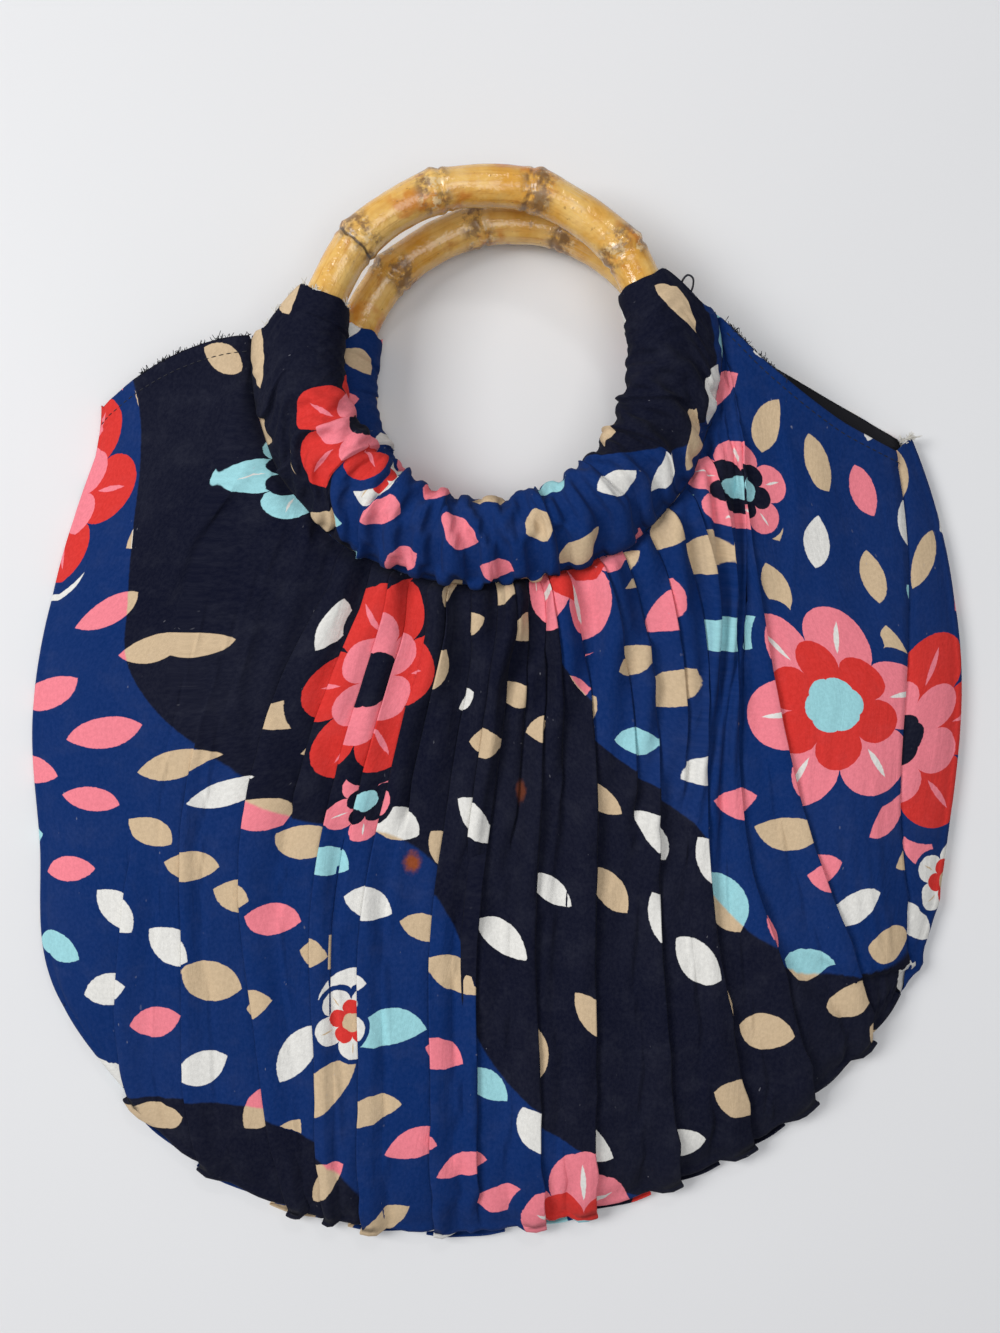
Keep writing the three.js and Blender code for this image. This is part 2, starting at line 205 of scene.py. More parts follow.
@dataclass(frozen=True)
class BagOutline:
    """Outline of the body as a radius about its middle, with the rolled edge along it."""

    x: float = -1.0
    y: float = -30.2
    edge_top: float = 6.2
    height: float = 20.0
    flatness: float = 6.0
    shoulder: float = 0.8
    corner_left: float = 135.9
    corner_right: float = 400.0
    foot_left: float = 207.0
    foot_right: float = 333.0
    tuck_half: float = 1.3
    tuck_ends: tuple[tuple[float, float], ...] = ((337.2, 2.4), (345.5, 0.8))  # angle, size
    rows: tuple[tuple[float, float], ...] = (  # angle, radius
        (90, 262), (118, 240), (135.9, 217.5), (140.2, 206), (147.6, 198), (157, 191), (170, 186),
        (187, 182), (203, 192), (215, 190), (232, 190), (266, 177), (290, 172), (312, 176),
        (338, 182), (358, 182), (382, 197), (400, 216), (425, 240), (450, 262),
    )

    @property
    def roll(self) -> float:
        """Radius of the outside of the rolled edge."""
        return (self.edge_top + WALL / 2) / 2

    def radius(self, degrees: Array) -> Array:
        """Radius of the outline at an angle, on a smooth curve through the rows.

        Args:
            degrees: Angles about the body, from 90 to 450.

        Returns:
            The radii in millimetres.
        """
        table = np.array(self.rows, float)
        angles, radii = table[:, 0], table[:, 1]
        last = len(angles) - 1
        degrees = np.asarray(degrees, float)
        n = np.clip(np.searchsorted(angles, degrees, side="right"), 1, last)
        t = np.clip((degrees - angles[n - 1]) / (angles[n] - angles[n - 1]), 0, 1)
        a, b = radii[n - 1], radii[n]
        before, after = radii[np.maximum(n - 2, 0)], radii[np.minimum(n + 1, last)]
        smooth = hermite(a, b, (b - before) / 2, (after - a) / 2, t)
        return smooth + sum(size * bump_at(degrees, place, self.tuck_half) for place, size in self.tuck_ends)

    def point(self, degrees: Array, inset: Array | float) -> Array:
        """Plan point at an angle, in from the outline."""
        a, r = np.radians(degrees), self.radius(degrees) - inset
        return np.stack([self.x + r * np.cos(a), self.y + r * np.sin(a)], -1)

    def share(self, p: Array) -> Array:
        """Distance from the middle as a share of the way to the rolled edge."""
        dx, dy = p[..., 0] - self.x, p[..., 1] - self.y
        return np.hypot(dx, dy) / (self.radius(bearing(dx, dy)) - self.roll)

    def outward(self, p: Array) -> Array:
        """Unit directions from the middle of the body to plan points."""
        return unit(p - np.array([self.x, self.y]))

    def dome(self, p: Array) -> Array:
        """Height of the middle of the upper sheet, away from the handle."""
        share = np.minimum(1.0, self.share(p))
        return lerp(self.edge_top, self.height, (1.0 - share**self.flatness) ** self.shoulder)


OUTLINE = BagOutline()
SEAM_Z = {"front": 28.8, "back": 4.7}
SEAM_SPAN = (174.0, 372.0)  # angles about the ring at which the sleeve seam starts and ends
CANE_SPAN = (160.0, 385.0)  # angles at which the sleeve leaves the cane bare
SEAM_RADIUS = 88.0
LIFT_REACH = {"front": 80.0, "back": 44.0}  # how far from the seam a sheet is held up
PANEL_LENGTH = 285.0  # from the top of a panel to its foot


def seam_radius(degrees: Array) -> Array:
    """Radius of the sleeve seam about its ring, drawn in at the bottom.

    Args:
        degrees: Angles about the ring.

    Returns:
        The radii in millimetres.
    """
    degrees = np.asarray(degrees, float)
    drawn_in = 4.5 * bump_at(degrees, 270.0, 28.0)
    return SEAM_RADIUS - drawn_in + 1.3 * uneven(degrees / 11, 0 * degrees, 77)


def front_height(p: Array) -> Array:
    """Outer face of the upper sheet over plan points."""
    lift = ease(FRONT_SEAT.away(p) - SEAM_RADIUS, 0, LIFT_REACH["front"])
    return lerp(SEAM_Z["front"], OUTLINE.dome(p), lift) + WALL / 2


def back_height(p: Array) -> Array:
    """Middle of the lower sheet over plan points."""
    lift = ease(BACK_SEAT.away(p) - SEAM_RADIUS, 0, LIFT_REACH["back"])
    return lerp(SEAM_Z["back"], WALL / 2, lift)


def wrap_width(v: Array) -> Array:
    """How far the side seam lies in from the outline."""
    v = np.asarray(v, float)
    return lerp(11.0, OUTLINE.roll, v) + 19.0 * np.sin(np.pi * v)


@dataclass
class ClothSheet:
    """Plan of one sheet of the bag: u runs across it, v from its top to its foot."""

    seat: RingSeat
    wraps: Side
    rise_left: float
    rise_right: float
    fan: float = 120.0
    span: tuple[float, float] = field(init=False)
    length: float = field(init=False)

    def __post_init__(self) -> None:
        """Lay out the upper boundary and measure it."""
        n = 300
        degrees = np.linspace(*SEAM_SPAN, n)
        arc = self.seat.point(seam_radius(degrees), degrees)
        left = self._edge(self.side(Side.LEFT, np.zeros(1))[0], arc[0], self.rise_left, n)
        right = self._edge(arc[-1], self.side(Side.RIGHT, np.zeros(1))[0], self.rise_right, n)
        self._top = np.concatenate([left, arc[1:], right[1:]])
        steps = np.linalg.norm(np.diff(self._top, axis=0), axis=1)
        run = np.concatenate([[0.0], np.cumsum(steps)])
        self.length = float(run[-1])
        self._share = run / run[-1]
        self.span = (float(self._share[n - 1]), float(self._share[2 * n - 2]))

    @staticmethod
    def _edge(start: Array, end: Array, rise: float, n: int) -> Array:
        """Mouth edge from start to end.

        Args:
            start: Plan point at the left.
            end: Plan point at the right.
            rise: How far the middle bows up.
            n: Number of points.

        Returns:
            The points along the edge.
        """
        t = np.linspace(0, 1, n)[:, None]
        middle = (start + end) / 2 + np.array([0.0, 2 * rise])
        return (1 - t) ** 2 * start + 2 * t * (1 - t) * middle + t**2 * end

    def side(self, side: Side, v: Array) -> Array:
        """Plan points of the left or right boundary.

        Args:
            side: Which boundary.
            v: Shares of the way down.

        Returns:
            The points, with x and y last.
        """
        corner = OUTLINE.corner_left if side is Side.LEFT else OUTLINE.corner_right
        foot = OUTLINE.foot_left if side is Side.LEFT else OUTLINE.foot_right
        edge = self.wraps in (side, Side.BOTH)
        inset = np.full_like(v, OUTLINE.roll) if edge else wrap_width(v)
        return OUTLINE.point(lerp(corner, foot, v), inset)

    def foot(self, u: Array) -> Array:
        """Plan points of the lower boundary."""
        return OUTLINE.point(lerp(OUTLINE.foot_left, OUTLINE.foot_right, u), OUTLINE.roll)

    def top(self, u: Array) -> Array:
        """Plan points of the upper boundary."""
        return np.stack([np.interp(u, self._share, self._top[:, i]) for i in (0, 1)], -1)

    def plan(self, u: Array, v: Array) -> Array:
        """Plan points of the sheet.

        Args:
            u: Share of the way across, from the left.
            v: Share of the way down, from the top; the same shape as u.

        Returns:
            Points with x and y last, in millimetres.
        """
        u, v = np.broadcast_arrays(np.asarray(u, float), np.asarray(v, float))
        head = self.top(u)
        across, down = u[..., None], v[..., None]
        p = lerp(head, self.foot(u), down)
        ends = np.zeros(1), np.ones(1)
        for side, weight, end in ((Side.LEFT, 1 - across, ends[0]), (Side.RIGHT, across, ends[1])):
            straight = lerp(self.side(side, ends[0])[0], self.foot(end)[0], down)
            p = p + (self.side(side, v) - straight) * weight
        out = unit(head - np.array([self.seat.x, self.seat.y]))
        fan = self.fan * v * (1 - v) ** 2 * np.sin(np.pi * u) ** 2
        return p + (out + np.array([0.0, 1.0])) * fan[..., None]


def roll_point(degrees: Array, length: Array, up: int, other: HeightOver) -> tuple[Array, Array]:
    """Point on the rolled edge, a length of cloth past the boundary of a sheet.

    Args:
        degrees: Angles about the body.
        length: Cloth past the boundary, in millimetres.
        up: 1 where the sheet is the upper one, -1 where it is the lower one.
        other: Outer height of the sheet that the cloth wraps on to.

    Returns:
        The points and the directions in which the cloth faces.
    """
    r = OUTLINE.roll
    degrees, length = np.broadcast_arrays(np.asarray(degrees, float), np.asarray(length, float))
    half = np.pi * r
    turn = np.minimum(length, half) / r
    inset = np.where(length > half, r + length - half, r * (1 - np.sin(turn)))
    plan = OUTLINE.point(degrees, inset)
    z = np.where(length > half, other(plan), r + up * r * np.cos(turn))
    a = np.radians(degrees)
    facing = np.stack([np.cos(a) * np.sin(turn), np.sin(a) * np.sin(turn), up * np.cos(turn)], -1)
    return raised(plan, z), facing


def new_object(name: str, data: bpy.types.ID) -> Object:
    """New object in the scene.

    Args:
        name: Name of the object.
        data: Its mesh, curve, light or camera.

    Returns:
        The object, at the origin.
    """
    made = bpy.data.objects.new(name, data)
    bpy.context.scene.collection.objects.link(made)
    return made


class ClothMesh:
    """Grids of points that are welded into one mesh, with a UV map in metres of flat cloth."""

    def __init__(self) -> None:
        """Start with no grids."""
        self.points: list[Array] = []
        self.flat: list[Array] = []
        self.faces: list[Array] = []
        self.single: list[Array] = []
        self.marks: dict[str, list[Array]] = {}
        self.count = 0

    def grid(
        self, points: Array, flat: Array, flip: bool = False, apart: bool = False, **marks: Array
    ) -> None:
        """Add a grid of quads.

        Args:
            points: Points in millimetres, with rows, columns and coordinates.
            flat: Places on the flat cloth in millimetres, with rows, columns and two numbers.
            flip: Whether the faces turn over.
            apart: Whether only the border is welded, so that layers that touch stay apart.
            marks: Named numbers for the points.
        """
        rows, columns = points.shape[:2]
        index = np.arange(rows * columns).reshape(rows, columns) + self.count
        corners = [index[:-1, :-1], index[1:, :-1], index[1:, 1:], index[:-1, 1:]]
        quads = np.stack(corners, -1).reshape(-1, 4)
        self.faces.append(quads[:, ::-1] if flip else quads)
        self.points.append(points.reshape(-1, 3))
        inside = np.zeros((rows, columns), bool)
        inside[1:-1, 1:-1] = apart
        self.single.append(inside.reshape(-1))
        self.flat.append(np.broadcast_to(flat, (rows, columns, 2)).reshape(-1, 2))
        for name, values in marks.items():
            self.marks.setdefault(name, []).append(np.broadcast_to(values, (rows, columns)).reshape(-1))
        self.count += rows * columns

    def build(self, name: str, material: Material, thick: float = 0.0) -> Object:
        """Weld the grids and make the object.

        Args:
            name: Name of the object and its mesh.
            material: Finish of the whole piece.
            thick: Thickness of the cloth, in millimetres; 0 leaves the surface single.

        Returns:
            The object, at the origin.
        """
        points = np.concatenate(self.points)
        points[:, 2] = np.maximum(points[:, 2], 0.0)
        flat = np.concatenate(self.flat) * MM
        own = np.where(np.concatenate(self.single), np.arange(1, self.count + 1), 0)
        keys = np.concatenate([np.round(points * 500).astype(np.int64), own[:, None]], 1)
        _, first, weld = np.unique(keys, axis=0, return_index=True, return_inverse=True)
        weld = weld.reshape(-1)
        faces, corners = [], []
        for quad in np.concatenate(self.faces).tolist():
            welded = [int(weld[i]) for i in quad]
            kept = [k for k in range(4) if welded[k] != welded[k - 1]]
            if len({welded[k] for k in kept}) >= 3 and len(kept) == len({welded[k] for k in kept}):
                faces.append([welded[k] for k in kept])
                corners.extend(quad[k] for k in kept)
        mesh = bpy.data.meshes.new(name)
        mesh.from_pydata((points[first] * MM).tolist(), [], faces)
        layer = mesh.uv_layers.new(name="FlatCloth")
        layer.data.foreach_set("uv", flat[corners].astype(np.float32).reshape(-1))
        for mark, values in self.marks.items():
            attribute = mesh.attributes.new(mark, "FLOAT", "POINT")
            attribute.data.foreach_set("value", np.concatenate(values)[first].astype(np.float32))
        mesh.polygons.foreach_set("use_smooth", np.ones(len(faces), bool))
        mesh.materials.append(material)
        mesh.update()
        made = new_object(name, mesh)
        if thick:
            wall = made.modifiers.new("Thickness", "SOLIDIFY")
            wall.thickness = thick * MM
            wall.offset = -1.0
        return made


@dataclass
class SlackCloth:
    """Cloth cut larger than the place it is sewn into, which settles into folds.

    Its points form a grid. Neighbours are drawn to the lengths of the cut cloth, every second
    neighbour resists a sharp bend, and the face below carries the weight.
    """

    base: Array
    facing: Array
    fullness: Array
    held: Array
    lowest: float
    highest: float
    ripples: tuple[float, float]
    seed: int
    start: float = 1.6
    spare_length: float = 0.004
    bend: float = 0.5
    bend_steps: int = 2
    bend_slack: float = 0.97
    grip: float = 0.05
    weight: float = 0.012
    pull: float = 0.9
    slant_pull: float = 0.06
    rounds: int = 300

    @staticmethod
    def _draw(x: Array, free: Array, cut: Array, step: int, stiff: float) -> None:
        """Draw pairs of points along the second axis towards their cut length.

        Args:
            x: Points, which are moved.
            free: How freely each point moves.
            cut: Cut length from each point to the next.
            step: 1 for neighbours; more for points further along, which are only pushed apart.
            stiff: Share of the error that is put right.
        """
        count = x.shape[1]
        for first in range(2 * step):
            a = x[:, first:count - step:2 * step]
            b = x[:, first + step::2 * step][:, :a.shape[1]]
            free_a = free[:, first:count - step:2 * step]
            free_b = free[:, first + step::2 * step][:, :a.shape[1]]
            wanted = cut[:, first::2 * step][:, :a.shape[1]]
            apart = b - a
            length = np.sqrt((apart * apart).sum(-1)) + 1e-6
            error = length - wanted
            if step > 1:
                error = np.minimum(error, 0.0)
            move = apart * (stiff * error / (length * (free_a + free_b + 1e-6)))[..., None]
            a += move * free_a[..., None]
            b -= move * free_b[..., None]

    def _bends(self, base: Array, extra: Array) -> Array:
        """Least distance between points a few steps apart along the second axis, for round folds.

        Args:
            base: Points of the smooth face.
            extra: Spare cloth at each point.

        Returns:
            The distances, for all points that have such a neighbour.
        """
        step = self.bend_steps
        apart = np.linalg.norm(base[:, step:] - base[:, :-step], axis=-1)
        spare = (extra[:, step:] + extra[:, :-step]) / 2
        return (self.bend_slack * apart * (1 + spare)).astype(np.float32)

    def settle(self) -> Array:
        """Let the cloth settle.

        Returns:
            How far each point of the grid has moved from the smooth face.
        """
        base = self.base.astype(np.float32)
        facing = self.facing.astype(np.float32)
        rows, columns = base.shape[:2]
        u, v = np.linspace(0, 1, columns)[None, :], np.linspace(0, 1, rows)[:, None]
        wander = 0.8 * uneven(u * 9, v * 5, self.seed + 1)
        start = uneven(u * self.ripples[0] + wander, v * self.ripples[1], self.seed)
        free = (1.0 - self.held).astype(np.float32)
        x = base + facing * (self.start * start * free).astype(np.float32)[..., None]
        extra = (self.fullness[:, 1:] + self.fullness[:, :-1]) / 2
        across = (np.linalg.norm(np.diff(base, axis=1), axis=-1) * (1 + extra)).astype(np.float32)
        lengths = np.linalg.norm(np.diff(base, axis=0), axis=-1)
        down = (lengths * (1 + self.spare_length)).astype(np.float32)
        wide = np.diff(base, axis=1)[:-1] * (1 + extra[:-1])[..., None]
        long = np.diff(base, axis=0)[:, :-1] * (1 + self.spare_length)
        falling = np.linalg.norm(long + wide, axis=-1).astype(np.float32)
        rising = np.linalg.norm(long - wide, axis=-1).astype(np.float32)
        turned, loose = x.swapaxes(0, 1), free.T
        bend_across = self._bends(base, self.fullness)
        bend_down = self._bends(base.swapaxes(0, 1), 0 * self.fullness.T)
        for _ in range(self.rounds):
            offset = x - base
            lift = (offset * facing).sum(-1)
            settled = np.clip(lift * (1 - self.weight), self.lowest, self.highest)
            slid = offset - facing * lift[..., None]
            x += (facing * (settled - lift)[..., None] - self.grip * slid) * free[..., None]
            self._draw(x, free, bend_across, self.bend_steps, self.bend)
            self._draw(turned, loose, bend_down, self.bend_steps, self.bend)
            self._draw(x, free, across, 1, self.pull)
            self._draw(turned, loose, down.T, 1, self.pull)
            slants = (
                (x[:-1, :-1], x[1:, 1:], free[:-1, :-1] * free[1:, 1:], falling),
                (x[:-1, 1:], x[1:, :-1], free[:-1, 1:] * free[1:, :-1], rising),
            )
            for a, b, w, aslant in slants:
                apart = b - a
                length = np.sqrt((apart * apart).sum(-1)) + 1e-6
                move = apart * (self.slant_pull * w * (length - aslant) / length)[..., None]
                a += move
                b -= move
        return (x - base).astype(float)


class Graph:
    """Short calls that add nodes to a shader tree and link them."""

    def __init__(self, tree: NodeTree) -> None:
        """Work on a tree."""
        self.tree = tree

    def add(self, kind: str, **settings: object) -> bpy.types.Node:
        """Add a node.

        Args:
            kind: Type of the node.
            settings: Properties of the node.

        Returns:
            The node.
        """
        node = self.tree.nodes.new(kind)
        for name, value in settings.items():
            setattr(node, name, value)
        return node

    def feed(self, socket: Socket, value: Value) -> None:
        """Link a socket to an output, or set its value.

        Args:
            socket: Input of a node.
            value: Output to link, or value to set.
        """
        if isinstance(value, Socket):
            self.tree.links.new(value, socket)
        else:
            socket.default_value = value

    def fed(
        self, kind: str, values: Sequence[Value], inputs: Sequence[int | str] = (), **settings: object
    ) -> bpy.types.Node:
        """Add a node and feed its inputs.

        Args:
            kind: Type of the node.
            values: Outputs to link or values to set, in order.
            inputs: Places or names of the inputs; the first ones where none are given.
            settings: Properties of the node.

        Returns:
            The node.
        """
        node = self.add(kind, **settings)
        for place, value in zip(inputs or range(len(values)), values):
            self.feed(node.inputs[place], value)
        return node

    def math(self, operation: str, *values: Value) -> Socket:
        """Math node."""
        return self.fed("ShaderNodeMath", values, operation=operation).outputs[0]

    def product(self, *values: Value) -> Socket:
        """Product of two numbers."""
        return self.math("MULTIPLY", *values)

    def sum(self, *values: Value) -> Socket:
        """Sum of two numbers."""
        return self.math("ADD", *values)

    def less(self, *values: Value) -> Socket:
        """First number less the second."""
        return self.math("SUBTRACT", *values)

    def vector(self, operation: str, *values: Value) -> Socket:
        """Vector Math node."""
        part = "Value" if operation == "LENGTH" else "Vector"
        return self.fed("ShaderNodeVectorMath", values, operation=operation).outputs[part]

    def mix(self, share: Value, a: Value, b: Value) -> Socket:
        """Mix of two colours."""
        return self.fed("ShaderNodeMix", (share, a, b), (0, 6, 7), data_type="RGBA").outputs[2]

    def blend(self, share: Value, a: Value, b: Value) -> Socket:
        """Mix of two numbers."""
        return self.fed("ShaderNodeMix", (share, a, b), (0, 2, 3), data_type="FLOAT").outputs[0]

    def ramp(
        self, value: Value, low: Value, high: Value, to_low: float = 0.0, to_high: float = 1.0
    ) -> Socket:
        """Smooth step of a value from low to high."""
        values = (value, low, high, to_low, to_high)
        return self.fed("ShaderNodeMapRange", values, interpolation_type="SMOOTHSTEP").outputs[0]

    def split(self, vector: Value) -> Outputs:
        """The three parts of a vector."""
        return self.fed("ShaderNodeSeparateXYZ", (vector,)).outputs

    def join(self, x: Value, y: Value, z: Value = 0.0) -> Socket:
        """A vector from three parts."""
        return self.fed("ShaderNodeCombineXYZ", (x, y, z)).outputs[0]

    def turn(self, vector: Value, angle: Value) -> Socket:
        """A vector turned about Z."""
        kind, names = "ShaderNodeVectorRotate", ("Vector", "Angle")
        return self.fed(kind, (vector, angle), names, rotation_type="Z_AXIS").outputs[0]

    def noise(
        self, vector: Value, scale: Value, detail: float = 2.0, rough: float = 0.5, warp: float = 0.0
    ) -> Socket:
        """Noise texture value."""
        names = ("Vector", "Scale", "Detail", "Roughness", "Distortion")
        return self.fed("ShaderNodeTexNoise", (vector, scale, detail, rough, warp), names).outputs["Fac"]

    def wander(self, vector: Value, scale: float, detail: float, amount: float) -> Socket:
        """Moves in a plane that change over a surface.

        Args:
            vector: Place on the surface.
            scale: Scale of the noise.
            detail: Detail of the noise.
            amount: How far a place moves.

        Returns:
            The move at each place.
        """
        names = ("Vector", "Scale", "Detail")
        cloud = self.fed("ShaderNodeTexNoise", (vector, scale, detail), names).outputs["Color"]
        return self.vector("MULTIPLY", self.vector("SUBTRACT", cloud, (0.5, 0.5, 0.5)), (amount, amount, 0.0))

    def bump(self, height: Value, strength: float, distance: float) -> Socket:
        """Normal of a surface with a height."""
        names = ("Height", "Strength", "Distance")
        return self.fed("ShaderNodeBump", (height, strength, distance), names).outputs[0]

    def palette(self, value: Value, stops: Sequence[tuple[float, Sequence[float]]]) -> Socket:
        """Colour ramp with hard stops.

        Args:
            value: Number from 0 to 1 that chooses the colour.
            stops: Place and colour of each stop.

        Returns:
            The colour.
        """
        node = self.add("ShaderNodeValToRGB")
        node.color_ramp.interpolation = "CONSTANT"
        elements = node.color_ramp.elements
        while len(elements) < len(stops):
            elements.new(0.5)
        for element, (place, colour) in zip(elements, stops):
            element.position = place
            element.color = (*colour[:3], 1.0)
        self.feed(node.inputs[0], value)
        return node.outputs[0]

    def group(self, tree: NodeTree, **values: Value) -> Outputs:
        """Place a node group.

        Args:
            tree: The group.
            values: Values of its inputs, with underscores for spaces in their names.

        Returns:
            The outputs of the group.
        """
        node = self.add("ShaderNodeGroup", node_tree=tree)
        for name, value in values.items():
            self.feed(node.inputs[name.replace("_", " ")], value)
        return node.outputs


def linear(red: int, green: int, blue: int) -> tuple[float, float, float, float]:
    """Linear colour from the eight-bit values of a display colour."""
    parts = [c / 255 for c in (red, green, blue)]
    return (*(c / 12.92 if c <= 0.04045 else ((c + 0.055) / 1.055) ** 2.4 for c in parts), 1.0)


def start_material(name: str) -> tuple[Material, Graph, Inputs]:
    """New material, with its graph and the inputs of its shader.

    Args:
        name: Name of the material.

    Returns:
        The material, the graph and the inputs.
    """
    made = bpy.data.materials.new(name)
    made.use_nodes = True
    return made, Graph(made.node_tree), made.node_tree.nodes["Principled BSDF"].inputs


class Groups:
    """Shader node groups that several finishes share, each built once."""

    edge: float = 0.0003  # width over which a printed colour ends, in metres

    def __init__(self) -> None:
        """Build the groups."""
        self.scatter = self._scatter()
        self.rosette = self._rosette()
        self.weave = self._weave()
        self.handled = self._handled()

    @staticmethod
    def _start(
        name: str, numbers: dict[str, float], outputs: Sequence[str]
    ) -> tuple[NodeTree, Graph, Outputs, Inputs]:
        """New group that reads a place on a surface.

        Args:
            name: Name of the group.
            numbers: Name and default of each further input.
            outputs: Names of the outputs, which are numbers.

        Returns:
            The tree, its graph, and the sockets of its input and output by name.
        """
        tree = bpy.data.node_groups.new(name, "ShaderNodeTree")
        number = "NodeSocketFloat"
        tree.interface.new_socket("Place", in_out="INPUT", socket_type="NodeSocketVector")
        for title, default in numbers.items():
            tree.interface.new_socket(title, in_out="INPUT", socket_type=number).default_value = default
        for title in outputs:
            tree.interface.new_socket(title, in_out="OUTPUT", socket_type=number)
        graph = Graph(tree)
        return tree, graph, graph.add("NodeGroupInput").outputs, graph.add("NodeGroupOutput").inputs

    @staticmethod
    def _cells(
        g: Graph, given: Outputs, in_rows: bool, stray: tuple[float, float]
    ) -> tuple[Socket, Socket, Outputs, Socket]:
        """Staggered cells with a motif near the middle of each.

        Args:
            g: Graph of the group.
            given: Inputs of the group: the sizes of a cell, the share that is filled and the seed.
            in_rows: Whether the rows are staggered; the columns are where not.
            stray: How far a motif strays across and down, as shares of a cell.

        Returns:
            The distances across and down from the motif's middle, three numbers drawn for the
            cell, and 1 where the cell is filled.
        """
        wide, tall = given["Across"], given["Down"]
        x, y, _ = g.split(g.vector("DIVIDE", given["Place"], g.join(wide, tall, 1.0)))
        if in_rows:
            x = g.sum(x, g.product(g.math("FLOOR", y), 0.5))
        else:
            y = g.sum(y, g.product(g.math("FLOOR", x), 0.5))
        column, row = g.math("FLOOR", x), g.math("FLOOR", y)
        cell = g.join(column, row, given["Seed"])
        chance = g.fed("ShaderNodeTexWhiteNoise", (cell,), noise_dimensions="3D").outputs
        drawn = g.split(chance["Color"])
        dx = g.sum(g.less(g.less(x, column), 0.5), g.product(g.less(drawn[0], 0.5), stray[0]))
        dy = g.sum(g.less(g.less(y, row), 0.5), g.product(g.less(drawn[1], 0.5), stray[1]))
        filled = g.math("LESS_THAN", chance["Value"], given["Share"])
        return g.product(dx, wide), g.product(dy, tall), drawn, filled

    def _scatter(self) -> NodeTree:
        """Pointed leaves in staggered rows, each turned and chosen by chance.

        Returns:
            The group.
        """
        numbers = {"Across": 0.0255, "Down": 0.03, "Length": 0.027, "Width": 0.0148, "Lean": 0.0}
        numbers |= {"Swing": 1.0, "Share": 0.8, "Seed": 1.0}
        tree, g, i, o = self._start("StaggeredLeaves", numbers, ("Mask", "Pick"))
        dx, dy, (one, two, three), filled = self._cells(g, i, True, (0.12, 0.18))
        swing = g.product(g.less(three, 0.5), i["Swing"])
        lx, ly, _ = g.split(g.turn(g.join(dx, dy), g.sum(i["Lean"], swing)))
        size = g.sum(0.36, g.product(two, 0.1))
        half, wide = g.product(i["Length"], size), g.product(i["Width"], size)
        squares = g.sum(g.product(half, half), g.product(wide, wide))
        bow = g.math("DIVIDE", squares, g.product(wide, 2.0))
        off = g.sum(g.math("ABSOLUTE", lx), g.less(bow, wide))
        reach = g.vector("LENGTH", g.join(off, ly))
        inside = g.ramp(g.less(bow, reach), 0.0, self.edge)
        g.feed(o["Mask"], g.product(inside, filled))
        g.feed(o["Pick"], g.math("FRACT", g.product(g.sum(one, two), 7.31)))
        return tree

    def _rosette(self) -> NodeTree:
        """Open blossoms of rounded petals, two whorls deep, in widely staggered columns.

        Returns:
            The group.
        """
        numbers = {"Across": 0.15, "Down": 0.16, "Radius": 0.03, "Petals": 6.0, "Share": 0.7, "Seed": 1.0}
        outputs = ("Halo", "Petal", "Whorl", "Heart", "Vein", "Pick")
        tree, g, i, o = self._start("OpenBlossoms", numbers, outputs)
        lx, ly, (_, two, three), filled = self._cells(g, i, False, (0.3, 0.3))
        reach = g.vector("LENGTH", g.join(lx, ly))
        angle = g.sum(g.math("ARCTAN2", ly, lx), g.product(three, 6.0))
        size = g.product(i["Radius"], g.sum(0.78, g.product(two, 0.3)))

        def whorl(part: float, turn: float, cleft: float) -> Socket:
            """Mask of one ring of petals.

            Args:
                part: Radius of the ring as a share of the blossom's.
                turn: Angle by which the ring is turned.
                cleft: Depth of the clefts between the petals, as a share of the ring's radius.

            Returns:
                The mask.
            """
            turns = g.sum(g.product(angle, g.product(i["Petals"], 0.5)), turn)
            lobe = g.math("POWER", g.math("ABSOLUTE", g.math("COSINE", turns)), 0.55)
            swell = g.sum(part * (1 - cleft), g.product(lobe, part * cleft))
            return g.product(filled, g.ramp(g.less(g.product(size, swell), reach), 0.0, self.edge))

        g.feed(o["Halo"], whorl(1.12, 0.0, 0.2))
        g.feed(o["Petal"], whorl(1.0, 0.0, 0.42))
        g.feed(o["Whorl"], whorl(0.62, math.pi / 2, 0.4))
        g.feed(o["Heart"], whorl(0.27, 0.0, 0.1))
        slice_angle = g.math("DIVIDE", 2 * math.pi, i["Petals"])
        half_slice = g.product(slice_angle, 0.5)
        within = g.math("FLOORED_MODULO", g.sum(angle, half_slice), slice_angle)
        across = g.math("ABSOLUTE", g.product(g.less(within, half_slice), reach))
        along = g.math("DIVIDE", g.less(g.math("DIVIDE", reach, size), 0.7), 0.18)
        taper = g.product(size, g.product(g.less(1.0, g.product(along, along)), 0.03))
        g.feed(o["Vein"], g.product(filled, g.ramp(g.less(taper, across), 0.0, self.edge)))
        g.feed(o["Pick"], three)
        return tree

    def _weave(self) -> NodeTree:
        """Height of woven threads, plain or in diagonal ribs.

        Returns:
            The group.
        """
        tree, g, i, o = self._start("WovenThreads", {"Pitch": 0.0005, "Diagonal": 0.0}, ("Height",))
        x, y, _ = g.split(g.vector("DIVIDE", i["Place"], g.join(i["Pitch"], i["Pitch"], 1.0)))

        def wave(turns: Value) -> Socket:
            """Wave that repeats with each whole turn."""
            return g.math("SINE", g.product(turns, 2 * math.pi))

        plain = g.product(wave(x), wave(y))
        rib = wave(g.product(g.sum(x, y), 0.5))
        threads = g.product(g.blend(i["Diagonal"], plain, rib), 0.5)
        g.feed(o["Height"], g.sum(threads, g.noise(i["Place"], 900.0, 2.0)))
        return tree

